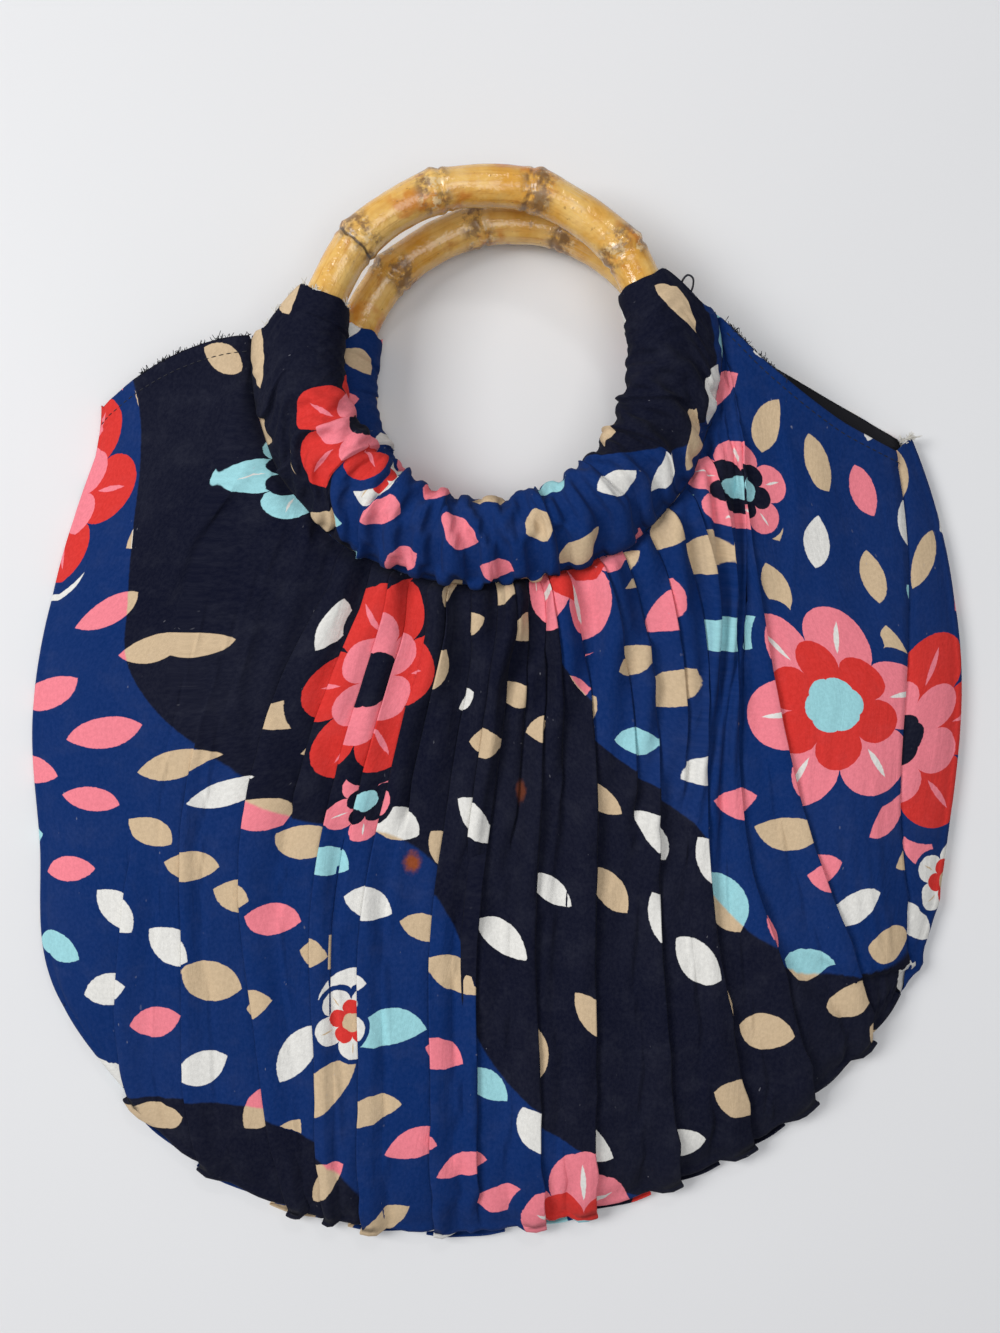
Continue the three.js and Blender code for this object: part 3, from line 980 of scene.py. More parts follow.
    def _handled(self) -> NodeTree:
        """Signs of use on cloth: creases that cross each other, fading and lint.

        Returns:
            The group.
        """
        tree, g, i, o = self._start("HandledCloth", {"Crease Scale": 60.0}, ("Crease", "Fade", "Lint"))
        drawn = g.vector("MULTIPLY", i["Place"], (1.6, 0.45, 1.0))
        crease = g.noise(drawn, i["Crease Scale"], 4.0, 0.62, 0.6)
        crinkle = g.noise(g.vector("MULTIPLY", i["Place"], (1.3, 0.7, 1.0)), 210.0, 3.0, 0.6, 0.4)
        g.feed(o["Crease"], g.sum(crease, g.product(crinkle, 0.16)))
        g.feed(o["Fade"], g.noise(i["Place"], 14.0, 3.0, 0.6))
        speck = g.noise(g.vector("MULTIPLY", i["Place"], (1.0, 0.5, 1.0)), 620.0, 1.0)
        linty = g.ramp(g.noise(i["Place"], 45.0, 1.0), 0.5, 0.65)
        g.feed(o["Lint"], g.product(g.ramp(speck, 0.74, 0.8), linty))
        return tree


@dataclass(frozen=True)
class Spot:
    """Rust-brown spot on the front: its middle and radius in metres, its length over width, its strength."""

    x: float
    y: float
    size: float
    long: float
    strength: float


@dataclass(frozen=True)
class PrintedCotton:
    """Printed cotton: leaves, flowers and broad patches on a dark ground."""

    navy: Colour = (12, 15, 34)
    blue: Colour = (8, 43, 100)
    tan: Colour = (205, 180, 146)
    white: Colour = (226, 224, 218)
    pink: Colour = (238, 130, 142)
    red: Colour = (212, 52, 46)
    aqua: Colour = (154, 208, 214)
    stain: Colour = (150, 74, 20)
    faded: Colour = (120, 122, 135)
    rubbed: Colour = (150, 153, 168)
    lint: Colour = (170, 170, 178)
    thread_high: Colour = (225, 225, 230)
    thread_deep: Colour = (8, 9, 16)
    row_slant: float = 0.55
    spots: tuple[Spot, ...] = (
        Spot(-0.0328, -0.0579, 0.0044, 1.2, 0.9),
        Spot(0.0092, -0.0305, 0.0024, 2.6, 0.4),
    )

    def material(
        self, name: str, groups: Groups, shift: tuple[float, float], stains: bool = False
    ) -> Material:
        """Make the finish.

        Args:
            name: Name of the material.
            groups: Shared node groups.
            shift: Where on the printed length the piece was cut, in metres.
            stains: Whether the piece has the spots of the front panel.

        Returns:
            The material.
        """
        made, g, shader = start_material(name)
        flat = g.add("ShaderNodeUVMap", uv_map="FlatCloth").outputs[0]
        placed = g.vector("ADD", flat, (*shift, 0.0))
        placed = g.vector("ADD", placed, g.wander(flat, 700.0, 2.0, 0.0006))
        handled = g.group(groups.handled, Place=flat)
        colour = self._print(g, groups, placed)
        fade = g.ramp(handled["Fade"], 0.3, 0.75, 0.0, 0.022)
        colour = g.mix(fade, colour, linear(*self.faded))
        rubbed = g.ramp(g.noise(flat, 95.0, 4.0, 0.65), 0.45, 0.75, 0.0, 0.02)
        colour = g.mix(rubbed, colour, linear(*self.rubbed))
        colour = g.mix(g.product(handled["Lint"], 0.35), colour, linear(*self.lint))
        if stains:
            colour = self._spots(g, colour)
        grain = g.noise(g.vector("MULTIPLY", flat, (1.0, 0.8, 1.0)), 760.0, 3.0, 0.75)
        high = g.mix(0.006, colour, linear(*self.thread_high))
        deep = g.mix(0.12, colour, linear(*self.thread_deep))
        g.feed(shader["Base Color"], g.mix(g.ramp(grain, 0.33, 0.68), deep, high))
        weave = g.group(groups.weave, Place=flat, Pitch=0.00062)
        height = g.sum(g.product(weave["Height"], 0.04), handled["Crease"])
        g.feed(shader["Normal"], g.bump(height, 0.55, 0.0013))
        shader["Roughness"].default_value = 0.92
        shader["Specular IOR Level"].default_value = 0.05
        shader["Sheen Weight"].default_value = 0.02
        shader["Sheen Roughness"].default_value = 0.5
        return made

    def _print(self, g: Graph, groups: Groups, placed: Socket) -> Socket:
        """Colour of the print at a place on the cloth.

        Args:
            g: Graph of the material.
            groups: Shared node groups.
            placed: Place on the printed length, in metres.

        Returns:
            The colour.
        """
        navy, blue, tan, white = (linear(*c) for c in (self.navy, self.blue, self.tan, self.white))
        pink, red, aqua = (linear(*c) for c in (self.pink, self.red, self.aqua))
        patch = g.ramp(g.noise(placed, 4.6, 0.0), 0.478, 0.481)
        ground = g.mix(patch, navy, blue)
        lean = g.product(g.noise(g.vector("ADD", placed, (3.1, 1.7, 0.0)), 4.0, 0.0), 7.0)
        share = g.blend(patch, 0.5, 0.97)
        slanted = g.turn(g.vector("ADD", placed, g.wander(placed, 5.5, 0.0, 0.055)), self.row_slant)
        leaves = g.group(groups.scatter, Place=slanted, Lean=lean, Share=share, Seed=3.0)
        on_blue = [(0.0, tan), (0.22, pink), (0.54, white), (0.78, tan), (0.88, aqua)]
        on_navy = [(0.0, tan), (0.55, white), (0.88, tan)]
        leaf = g.mix(patch, g.palette(leaves["Pick"], on_navy), g.palette(leaves["Pick"], on_blue))
        colour = g.mix(leaves["Mask"], ground, leaf)
        sizes = {"Across": 0.088, "Down": 0.094, "Radius": 0.0175, "Petals": 5.0, "Share": 0.4, "Seed": 8.0}
        small = g.group(groups.rosette, Place=placed, **sizes)
        sizes = {"Across": 0.158, "Down": 0.15, "Radius": 0.045, "Petals": 6.0, "Share": 0.62, "Seed": 5.0}
        large = g.group(groups.rosette, Place=g.vector("ADD", placed, (0.05, 0.02, 0.0)), **sizes)
        small_tints = {
            "Petal": [(0.0, pink), (0.45, aqua), (0.75, white)],
            "Whorl": [(0.0, navy), (0.6, red)],
            "Heart": [(0.0, aqua), (0.5, tan)],
            "Vein": [(0.0, white), (0.75, tan)],
        }
        large_tints = {
            "Petal": [(0.0, red), (0.62, pink)],
            "Whorl": [(0.0, pink), (0.4, navy), (0.7, red)],
            "Heart": [(0.0, navy), (0.45, aqua)],
            "Vein": [(0.0, pink), (0.62, white)],
        }
        for bloom, tints in ((small, small_tints), (large, large_tints)):
            colour = g.mix(bloom["Halo"], colour, ground)
            for part, stops in tints.items():
                colour = g.mix(bloom[part], colour, g.palette(bloom["Pick"], stops))
        return colour

    def _spots(self, g: Graph, colour: Socket) -> Socket:
        """Spots at their places on the front.

        Args:
            g: Graph of the material.
            colour: Colour of the cloth.

        Returns:
            The colour with the spots on it.
        """
        place = g.add("ShaderNodeTexCoord").outputs["Object"]
        ragged = g.less(g.noise(place, 260.0, 3.0, 0.6), 0.5)
        for spot in self.spots:
            x_away, y_away, _ = g.split(g.vector("SUBTRACT", place, (spot.x, spot.y, 0.0)))
            reach = g.vector("LENGTH", g.join(x_away, g.math("DIVIDE", y_away, spot.long)))
            reach = g.sum(reach, g.product(ragged, spot.size))
            soaked = g.ramp(reach, spot.size * 0.35, spot.size, spot.strength, 0.0)
            colour = g.mix(soaked, colour, linear(*self.stain))
        return colour


@dataclass(frozen=True)
class BlackTwill:
    """Black twill of the inner bag, with a slight sheen along its ribs."""

    tint: Colour = (15, 15, 19)
    worn: Colour = (44, 44, 50)

    def material(self, groups: Groups) -> Material:
        """Make the finish.

        Args:
            groups: Shared node groups.

        Returns:
            The material.
        """
        made, g, shader = start_material("black_twill")
        flat = g.add("ShaderNodeUVMap", uv_map="FlatCloth").outputs[0]
        handled = g.group(groups.handled, Place=flat, Crease_Scale=45.0)
        weave = g.group(groups.weave, Place=flat, Pitch=0.0009, Diagonal=1.0)
        worn = g.product(g.ramp(handled["Fade"], 0.35, 0.75), 0.25)
        g.feed(shader["Base Color"], g.mix(worn, linear(*self.tint), linear(*self.worn)))
        height = g.sum(g.product(weave["Height"], 0.2), handled["Crease"])
        g.feed(shader["Normal"], g.bump(height, 0.5, 0.0009))
        shader["Roughness"].default_value = 0.8
        shader["Specular IOR Level"].default_value = 0.2
        return made


@dataclass(frozen=True)
class LacqueredBamboo:
    """Honey-coloured cane under clear lacquer, darker and scarred at its knots."""

    honey: Colour = (212, 154, 60)
    pale: Colour = (230, 188, 108)
    toast: Colour = (172, 104, 32)
    amber: Colour = (190, 106, 16)
    scar: Colour = (116, 82, 46)
    flake: Colour = (226, 198, 148)
    crack: Colour = (44, 28, 16)

    def material(self) -> Material:
        """Make the finish.

        Returns:
            The material.
        """
        made, g, shader = start_material("lacquered_bamboo")
        cane = g.add("ShaderNodeUVMap", uv_map="FlatCloth").outputs[0]
        knot = g.add("ShaderNodeAttribute", attribute_name="knot").outputs["Fac"]
        cleft = g.add("ShaderNodeAttribute", attribute_name="cleft").outputs["Fac"]
        place = g.add("ShaderNodeTexCoord").outputs["Object"]
        streak = g.noise(g.vector("MULTIPLY", cane, (26.0, 700.0, 1.0)), 1.0, 3.0, 0.6)
        cloud = g.noise(place, 48.0, 4.0, 0.65)
        burnt = g.noise(g.vector("MULTIPLY", cane, (55.0, 130.0, 1.0)), 1.0, 4.0, 0.65)
        patch = g.noise(place, 150.0, 4.0, 0.7)
        glow = g.ramp(g.noise(place, 62.0, 3.0, 0.6), 0.56, 0.7, 0.0, 0.7)
        raw = g.product(g.ramp(g.noise(place, 30.0, 2.0), 0.52, 0.66), g.ramp(streak, 0.4, 0.6))
        near = g.ramp(knot, 0.1, 0.7)
        flaked = g.product(near, g.ramp(g.noise(place, 190.0, 3.0, 0.7), 0.54, 0.6))
        scarred = g.product(near, g.ramp(patch, 0.44, 0.6))
        colour = g.mix(g.ramp(cloud, 0.36, 0.66), linear(*self.pale), linear(*self.honey))
        layers = (
            (g.ramp(streak, 0.45, 0.8, 0.0, 0.5), self.toast),
            (g.ramp(burnt, 0.56, 0.74, 0.0, 0.75), self.toast),
            (glow, self.amber),
            (g.product(raw, 0.55), self.flake),
            (g.product(flaked, 0.8), self.flake),
            (g.product(scarred, 0.85), self.scar),
            (g.ramp(cleft, 0.25, 0.8, 0.0, 0.85), self.crack),
            (g.ramp(g.noise(place, 420.0, 2.0), 0.68, 0.74, 0.0, 0.45), self.scar),
        )
        for share, tint in layers:
            colour = g.mix(share, colour, linear(*tint))
        g.feed(shader["Base Color"], colour)
        g.feed(shader["Roughness"], g.ramp(g.sum(scarred, raw), 0.0, 1.0, 0.16, 0.42))
        lumps = g.sum(g.noise(place, 230.0, 2.0, 0.55), g.product(g.noise(place, 560.0, 2.0), 0.4))
        height = g.sum(g.product(streak, 0.35), g.sum(patch, lumps))
        g.feed(shader["Normal"], g.bump(height, 0.5, 0.0008))
        shader["Coat Weight"].default_value = 0.3
        shader["Coat Roughness"].default_value = 0.06
        return made


@dataclass(frozen=True)
class SewingThread:
    """Twisted thread of one colour."""

    name: str
    tint: Colour

    def material(self) -> Material:
        """Make the finish.

        Returns:
            The material.
        """
        made, g, shader = start_material(self.name)
        twist = g.noise(g.add("ShaderNodeTexCoord").outputs["Object"], 2500.0, 1.0)
        dark = linear(*(max(0, c - 14) for c in self.tint))
        g.feed(shader["Base Color"], g.mix(twist, dark, linear(*self.tint)))
        shader["Roughness"].default_value = 0.7
        return made


@dataclass(frozen=True)
class Pleat:
    """One knife pleat: its fold edge across the panel, the way it lies and its depth in millimetres."""

    top: float
    middle: float
    foot: float
    lie: int
    deep_top: float
    deep_middle: float
    deep_foot: float


@dataclass(frozen=True)
class DrawnFold:
    """A fold along a line of plan points: the cloth to the left of the line laps over the rest."""

    path: tuple[tuple[float, float], ...]
    height: float
    width: float
    lap: float = 1.3
    hides: float = 1.6
    far: float = 40.0
    dip: float = 0.35

    def bend(self, p: Array) -> tuple[Array, Array, Array]:
        """Shape of the fold at plan points.

        Args:
            p: Plan points in millimetres.

        Returns:
            The height, the move in plan and the move on the flat cloth that the fold gives.
        """
        nearest = np.full(p.shape[:-1], 1e9)
        side, along = np.ones(p.shape[:-1]), np.zeros(p.shape[:-1])
        across = np.zeros(p.shape)
        points = np.array(self.path, float)
        for k, (a, b) in enumerate(zip(points[:-1], points[1:])):
            d = b - a
            t = np.clip(((p - a) @ d) / (d @ d), 0, 1)
            off = p - (a + t[..., None] * d)
            reach = np.hypot(off[..., 0], off[..., 1])
            closer = reach < nearest
            side = np.where(closer, np.sign(d[0] * off[..., 1] - d[1] * off[..., 0]), side)
            along = np.where(closer, (k + t) / (len(points) - 1), along)
            across = np.where(closer[..., None], np.array([-d[1], d[0]]) / np.hypot(*d), across)
            nearest = np.minimum(nearest, reach)
        fade = np.sin(np.pi * np.clip(along, 0.0, 1.0)) ** 0.6
        fade = fade * np.exp(-((nearest / self.far) ** 2))
        beside = nearest * side
        lapping = np.exp(-nearest / self.width)
        under = -self.dip * np.exp(-nearest / (0.5 * self.width))
        over = lerp(under, lapping, ease(beside, -2.6, 2.0))
        lapped = -self.lap * np.tanh(beside / 2.0) * np.exp(-nearest / 5.0) * fade
        hidden = -self.hides * ease(-beside, -2.5, 2.5) * np.exp(-nearest / 30.0) * fade
        return self.height * fade * over, across * lapped[..., None], across * hidden[..., None]


FOLD_PATH = (  # share of the way through a fold, run under its edge, bend past it, layer
    (0.01, 0.0, 0.7, 1.85),
    (0.02, 0.0, 1.0, 1.5),
    (0.03, 0.0, 0.7, 1.0),
    (0.06, -0.03, 0.0, 0.75),
    (0.28, -0.5, 0.0, 0.35),
    (0.48, -1.0, 0.0, 0.2),
    (0.5, -1.0, -0.8, -0.2),
    (0.52, -0.98, 0.0, -0.6),
    (0.76, -0.46, 0.0, -0.5),
)
TOP_ROWS = (0.0, 0.003, 0.007, 0.012, 0.0155, 0.0185, 0.022, 0.027, 0.034)  # close rows along the hem


@dataclass
class PleatedPanel:
    """One printed panel of the body: pleats, gathers at the sleeve, hem and rolled edge."""

    name: str
    sheet: ClothSheet
    up: int
    pleats: tuple[Pleat, ...]
    folds: tuple[DrawnFold, ...]
    layer: float
    rows: int
    fullness: float = 0.3
    hem_width: float = 5.5
    flat_pleat: float = 3.6
    layer_gap: float = 0.3
    seed: int = 11
    grid: tuple[int, int] = (150, 72)
    gathered: tuple[float, float, float, float] = (214.0, 250.0, 318.0, 356.0)
    column_width: float = 2.6
    lip: float = 1.3
    tuck: tuple[tuple[float, float, float], ...] = (  # out, down, cloth used
        (0.0, 0.0, 0.0), (0.4, 1.9, 2.0), (1.8, 2.8, 3.6), (3.4, 3.2, 5.2),
    )
    swell_width: float = 14.0
    hang_over: float = 1.7
    hang_under: float = -1.2
    hang_bow: float = 0.9
    foot_share: float = 0.45
    worn: tuple[float, float] = (0.1, 0.085)
    stitch_paths: list[Array] = field(default_factory=list)
    worn_edges: list[tuple[Array, Array]] = field(default_factory=list)

    def outer(self, p: Array) -> Array:
        """Height of the smooth outer face over plan points."""
        return front_height(p) if self.up > 0 else back_height(p) - WALL / 2 + 2 * self.layer

    def other(self, p: Array) -> Array:
        """Outer height of the sheet that the edge wraps on to."""
        return front_height(p) if self.up < 0 else np.zeros(p.shape[:-1])

    def _columns(self, v: Array) -> tuple[Array, Array, Array, Array]:
        """Columns of the panel, with the pleats folded.

        Args:
            v: Rows, from the top.

        Returns:
            For each column and row: the place across, the height of the layer, and the cloth
            that the pleats before it hide; and for each column, how far its foot hangs down.
        """
        scale = self._scale(v)
        edges = [np.zeros_like(v)]
        for pleat in self.pleats:
            edges.append(three_way(pleat.top, pleat.middle, pleat.foot, v))
        edges.append(np.ones_like(v))
        deep = []
        for k, pleat in enumerate(self.pleats, 1):
            wanted = np.interp(v, (0, 0.5, 1), (pleat.deep_top, pleat.deep_middle, pleat.deep_foot))
            room = (edges[k] - edges[k - 1] if pleat.lie > 0 else edges[k + 1] - edges[k]) * scale
            deep.append(np.minimum(wanted, 0.75 * room) * ease(wanted, 0.5, 1.8))
        tall = [self.layer * ease(d, 0.0, 1.6) for d in deep]
        open_out = [self.flat_pleat / 2 * (1 - ease(d, 0.1, 1.4)) / scale for d in deep]
        place, height, hidden, hang = [], [], [], []
        taken = np.zeros_like(v)
        last = len(self.pleats)
        steps = [min(1.0, float(d[-1]) / 7) for d in deep]
        for k in range(last + 1):
            over_left = k > 0 and self.pleats[k - 1].lie < 0
            over_right = k < last and self.pleats[k].lie > 0
            left = edges[k] + (open_out[k - 1] if k > 0 else 0.0)
            right = edges[k + 1] - (open_out[k] if k < last else 0.0)
            up_left, deep_left = (2 * tall[k - 1], deep[k - 1]) if over_left else (0 * v, 0 * v)
            up_right, deep_right = (2 * tall[k], deep[k]) if over_right else (0 * v, 0 * v)
            wide = (right - left) * scale
            end_left = np.minimum(wide, deep_left + self.swell_width)
            end_right = np.minimum(wide, deep_right + self.swell_width)
            count = int(np.clip(np.mean(wide) / self.column_width, 4, 26))
            firm = [1.0 if j in (-1, last) else ease(deep[j], 0.3, 2.5) for j in (k - 1, k)]
            puff = (1.3 if self.up > 0 else 0.4) * ease(wide, 4, 25) * firm[0] * firm[1]
            low_left = 0.0 if k == 0 else steps[k - 1] * (self.hang_over if over_left else self.hang_under)
            low_right = 0.0 if k == last else steps[k] * (self.hang_over if over_right else self.hang_under)
            for t in np.linspace(0, 1, count):
                bowed = self.hang_bow * math.sin(math.pi * t) if 0 < k < last else 0.0
                hang.append(float(lerp(low_left, low_right, t)) + bowed)
                swell = up_left * (1 - ease(t * wide, deep_left, end_left))
                swell = swell + up_right * (1 - ease((1 - t) * wide, deep_right, end_right))
                place.append(lerp(left, right, t))
                height.append(swell + puff * math.sin(math.pi * t))
                hidden.append(taken)
            if k < last:
                columns = self._fold(self.pleats[k], deep[k], tall[k], scale, open_out[k])
                for share, past, flat_part, level in columns:
                    place.append(edges[k + 1] + past + flat_part)
                    height.append(level)
                    hidden.append(taken + share * 2 * deep[k] - past * scale)
                taken = taken + 2 * deep[k]
                low_far = steps[k] * (self.hang_under if over_right else self.hang_over)
                hang.extend(np.linspace(low_right, low_far, len(FOLD_PATH)).tolist())
        placed = np.array(place)
        middle = int(np.argmin(np.abs(placed.mean(1) - 0.5)))
        return placed, np.array(height), np.array(hidden) - hidden[middle], np.array(hang)

    @staticmethod
    def _fold(
        pleat: Pleat, deep: Array, tall: Array, scale: Array, open_out: Array
    ) -> list[tuple[float, Array, Array, Array]]:
        """Columns of one fold: round its edge, back under it and forward again.

        Args:
            pleat: The pleat, which says which way the fold lies.
            deep: Depth of the fold at each row, in millimetres.
            tall: Height of one layer of the fold at each row.
            scale: Width of the panel at each row.
            open_out: Half the width over which the cloth lies flat where the fold has no depth.

        Returns:
            For each column, the share of the way through the fold, the places past the fold edge
            on the folded and on the flat part, and the heights.
        """
        turn = 0.55 * tall / scale
        path = FOLD_PATH
        if pleat.lie < 0:
            path = [(1 - share, -run, -bend, layer) for share, run, bend, layer in reversed(FOLD_PATH)]
        columns = []
        for n, (share, run, bend, layer) in enumerate(path, 1):
            flat_part = (2 * n / (len(path) + 1) - 1) * open_out
            columns.append((share, run * deep / scale + bend * turn, flat_part, layer * tall))
        return columns

    def _scale(self, v: Array) -> Array:
        """Width of the panel across each row, in millimetres."""
        p = self.sheet.plan(np.linspace(0, 1, 41)[:, None], v[None, :])
        return np.linalg.norm(np.diff(p, axis=0), axis=-1).sum(0)

    def _facing(self, u: Array, v: Array) -> Array:
        """Directions in which the smooth outer face looks.

        Args:
            u: Shares of the way across.
            v: Shares of the way down.

        Returns:
            The unit normals.
        """
        step = 0.004

        def at(a: Array, b: Array) -> Array:
            """Points of the face."""
            p = self.sheet.plan(np.clip(a, 0, 1), np.clip(b, 0, 1))
            return raised(p, self.outer(p))

        along = at(u + step, v) - at(u - step, v)
        down = at(u, v + step) - at(u, v - step)
        n = unit(np.cross(down, along))
        return n * np.where(n[..., 2:] * self.up < 0, -1.0, 1.0)

    def _sewn(self, u: Array) -> Array:
        """1 where the top of the panel is sewn to the sleeve, 0 along the mouth."""
        start, end = self.sheet.span
        return ease(u, start - 0.02, start + 0.02) * (1 - ease(u, end - 0.02, end + 0.02))

    def _settled(self) -> Array:
        """Gathers of the panel, settled on an even grid.

        Returns:
            The move of each grid point, and the spare cloth up to it in two directions.
        """
        across, down = (np.linspace(0, 1, n) for n in self.grid)
        u, v = np.broadcast_arrays(across[None, :], down[:, None])
        plan = self.sheet.plan(u, v)
        turn = self.sheet.seat.angle(plan)
        off = np.maximum(0.0, self.sheet.seat.away(plan) - seam_radius(turn))
        low = ease(turn, *self.gathered[:2]) * (1 - ease(turn, *self.gathered[2:]))
        drawn = self.fullness * low * self._sewn(u)
        near = np.exp(-off / 34) + 0.25 * np.exp(-off / 120)
        spare = drawn * near * (1 + 0.45 * uneven(u * 13, v * 3, self.seed))
        slack = lerp(0.002, 0.02, ease(u, 0.25, 0.42)) * ease(v, 0.1, 0.4)
        spare = spare + slack + 0.03 * ease(v, 0.8, 1.0)
        spare = spare * ease(np.minimum(u, 1 - u), 0, 0.04)
        from_top = v * PANEL_LENGTH
        held = np.maximum(self._sewn(u) * (1 - ease(from_top, 0, 4)), 0.9 * (1 - ease(from_top, 4, 22)))
        held = np.maximum(held, 1 - ease(np.minimum(u, 1 - u) * 380, 2, 14))
        held = np.maximum(held, ease(v, 0.975, 1.0))
        cloth = SlackCloth(
            base=raised(plan, self.outer(plan)),
            facing=self._facing(u, v),
            fullness=spare,
            held=held,
            lowest=-2.4 if self.up > 0 else -0.6,
            highest=5.5 if self.up > 0 else 0.9,
            ripples=(34.0, 2.4),
            seed=self.seed,
        )
        taken = 0.6 * drawn * np.exp(-off / 60)
        steps = np.diff(plan, axis=1) * ((taken[:, 1:] + taken[:, :-1]) / 2)[..., None]
        hidden = np.concatenate([np.zeros((len(plan), 1, 2)), np.cumsum(steps, axis=1)], 1)
        hidden = hidden - hidden[:, hidden.shape[1] // 2][:, None]
        return np.concatenate([cloth.settle(), hidden], -1)

    def _relief(self, p: Array, u: Array, v: Array) -> Array:
        """Valley at the sleeve seam, hem and soft waves of the cloth.

        Args:
            p: Plan points.
            u: Shares of the way across.
            v: Shares of the way down.

        Returns:
            The height over the smooth face.
        """
        seat = self.sheet.seat
        off = np.maximum(0.0, seat.away(p) - seam_radius(seat.angle(p)))
        z = self._sewn(u) * (1.6 * bump_at(off, 11, 7) - 2.6 * np.exp(-((off / 3.0) ** 2)))
        edge = np.minimum(u, 1 - u) * 330
        drawn_up = lerp(0.2, 1.0, np.maximum(ease(u, 0.26, 0.42), ease(v, 0.45, 0.8)))
        soft = 1.5 * uneven(u * 14, v * 2.2, self.seed + 2) + 0.6 * uneven(u * 23, v * 4.5, self.seed + 9)
        z = z + soft * ease(edge, 0, 14) * lerp(0.35, 1.0, drawn_up)
        z = z + 0.3 * uneven(u * 40, v * 12, self.seed + 3) * ease(edge, 0, 8) * drawn_up
        z = z * ease((1 - v) * 280, -2, 10)
        free = (1 - self._sewn(u)) * ease(0.16 - v, 0, 0.1)
        from_edge = v * PANEL_LENGTH
        hem = 0.9 * (1 - ease(from_edge, self.hem_width - 0.6, self.hem_width + 0.5))
        hem = hem - 0.6 * bump_at(from_edge, self.hem_width - 1.2, 0.8)
        wave = 0.5 * uneven(u * 12, 0 * u, self.seed + 5) * np.exp(-from_edge / 22)
        return z + free * (hem + wave)

    def build(self, material: Material) -> Object:
        """Make the panel.

        Args:
            material: Finish of the cloth.

        Returns:
            The finished object.
        """
        v = np.concatenate([TOP_ROWS, np.linspace(0.043, 1.0, self.rows)])
        place, layer, hidden, hang = self._columns(v)
        rows = np.broadcast_to(v, place.shape)
        plan = self.sheet.plan(np.clip(place, 0, 1), rows)
        facing = self._facing(place, rows)
        raise_by = layer * ease(rows, -0.004, 0.02) + self._relief(plan, place, rows)
        settled = sample(self._settled(), place, rows)
        flat = plan + settled[..., 3:] + np.stack([hidden, 0 * hidden], -1)
        moved = settled[..., :3]
        for fold in self.folds:
            height, shift, jump = fold.bend(plan)
            raise_by = raise_by + height
            moved[..., :2] += shift
            flat = flat + jump
        if self.up < 0:
            raise_by = np.minimum(raise_by, 2 * self.layer)
        points = raised(plan, self.outer(plan)) + facing * raise_by[..., None] + moved
        away = OUTLINE.outward(plan)
        points[..., :2] += away * (hang[:, None] * ease(rows, 0.9, 1.0))[..., None]
        if self.up < 0:
            under = self.layer_gap * np.clip(2 - layer / self.layer, 0, 2)
            points[..., 2] = np.maximum(points[..., 2], under)
        cloth = ClothMesh()
        turned_in = points[:, :1] - np.array([0.0, 0.0, self.lip * self.up])
        points_lipped = np.concatenate([turned_in, points], 1)
        flat_lipped = np.concatenate([flat[:, :1] + np.array([0.0, self.lip]), flat], 1)
        cloth.grid(points_lipped, flat_lipped, self.up > 0, apart=True)
        self._allowance(cloth, points, flat, plan)
        self._foot(cloth, points[:, -1], place[:, -1], layer[:, -1], flat[:, -1], hang)
        self._wrap(cloth, points, flat, v)
        self._mark_hem(points, place, v)
        return cloth.build(self.name, material, CLOTH)

    def _foot(
        self, cloth: ClothMesh, row: Array, u: Array, layer: Array, flat: Array, hang: Array
    ) -> None:
        """Roll the foot of the panel half-way round the edge of the bag.

        Args:
            cloth: Mesh to add to.
            row: Last row of points.
            u: Their shares of the way across.
            layer: Heights of their layers.
            flat: Their places on the flat cloth.
            hang: How far each column hangs down.
        """
        lengths = np.pi * OUTLINE.roll * np.linspace(0.09, self.foot_share, 5)
        degrees = lerp(OUTLINE.foot_left, OUTLINE.foot_right, np.clip(u, 0, 1))
        points, facing = roll_point(degrees[:, None], lengths[None, :], self.up, self.other)
        a = np.radians(degrees)
        outward = np.stack([np.cos(a), np.sin(a), 0 * a], -1)
        points = points + facing * layer[:, None, None] * 0.8 + (outward * hang[:, None])[:, None]
        points = np.concatenate([row[:, None], points], 1)
        down = np.concatenate([[0.0], lengths])
        below = np.stack([np.broadcast_to(flat[:, :1], points.shape[:2]), flat[:, 1:] - down], -1)
        cloth.grid(points, below, self.up > 0)

    def _allowance(self, cloth: ClothMesh, points: Array, flat: Array, plan: Array) -> None:
        """Tuck a strip of the panel in under its neighbour at the side seam.

        Args:
            cloth: Mesh to add to.
            points: Points of the panel.
            flat: Their places on the flat cloth.
            plan: Their places in the smooth plan.
        """
        last = -1 if self.sheet.wraps is Side.LEFT else 0
        edge = points[last]
        away = OUTLINE.outward(plan[last])
        strip = np.stack([
            np.concatenate([edge[:, :2] + away * out, edge[:, 2:] - down * self.up], -1)
            for out, down, _ in self.tuck
        ])
        shift = np.array(self.tuck)[:, 2:] * (1 if last else -1)
        along = np.broadcast_to(flat[last][:, 1], strip.shape[:2])
        placed = np.stack([flat[last][None, :, 0] + shift, along], -1)
        cloth.grid(strip, placed, (self.up > 0) != (last == 0))

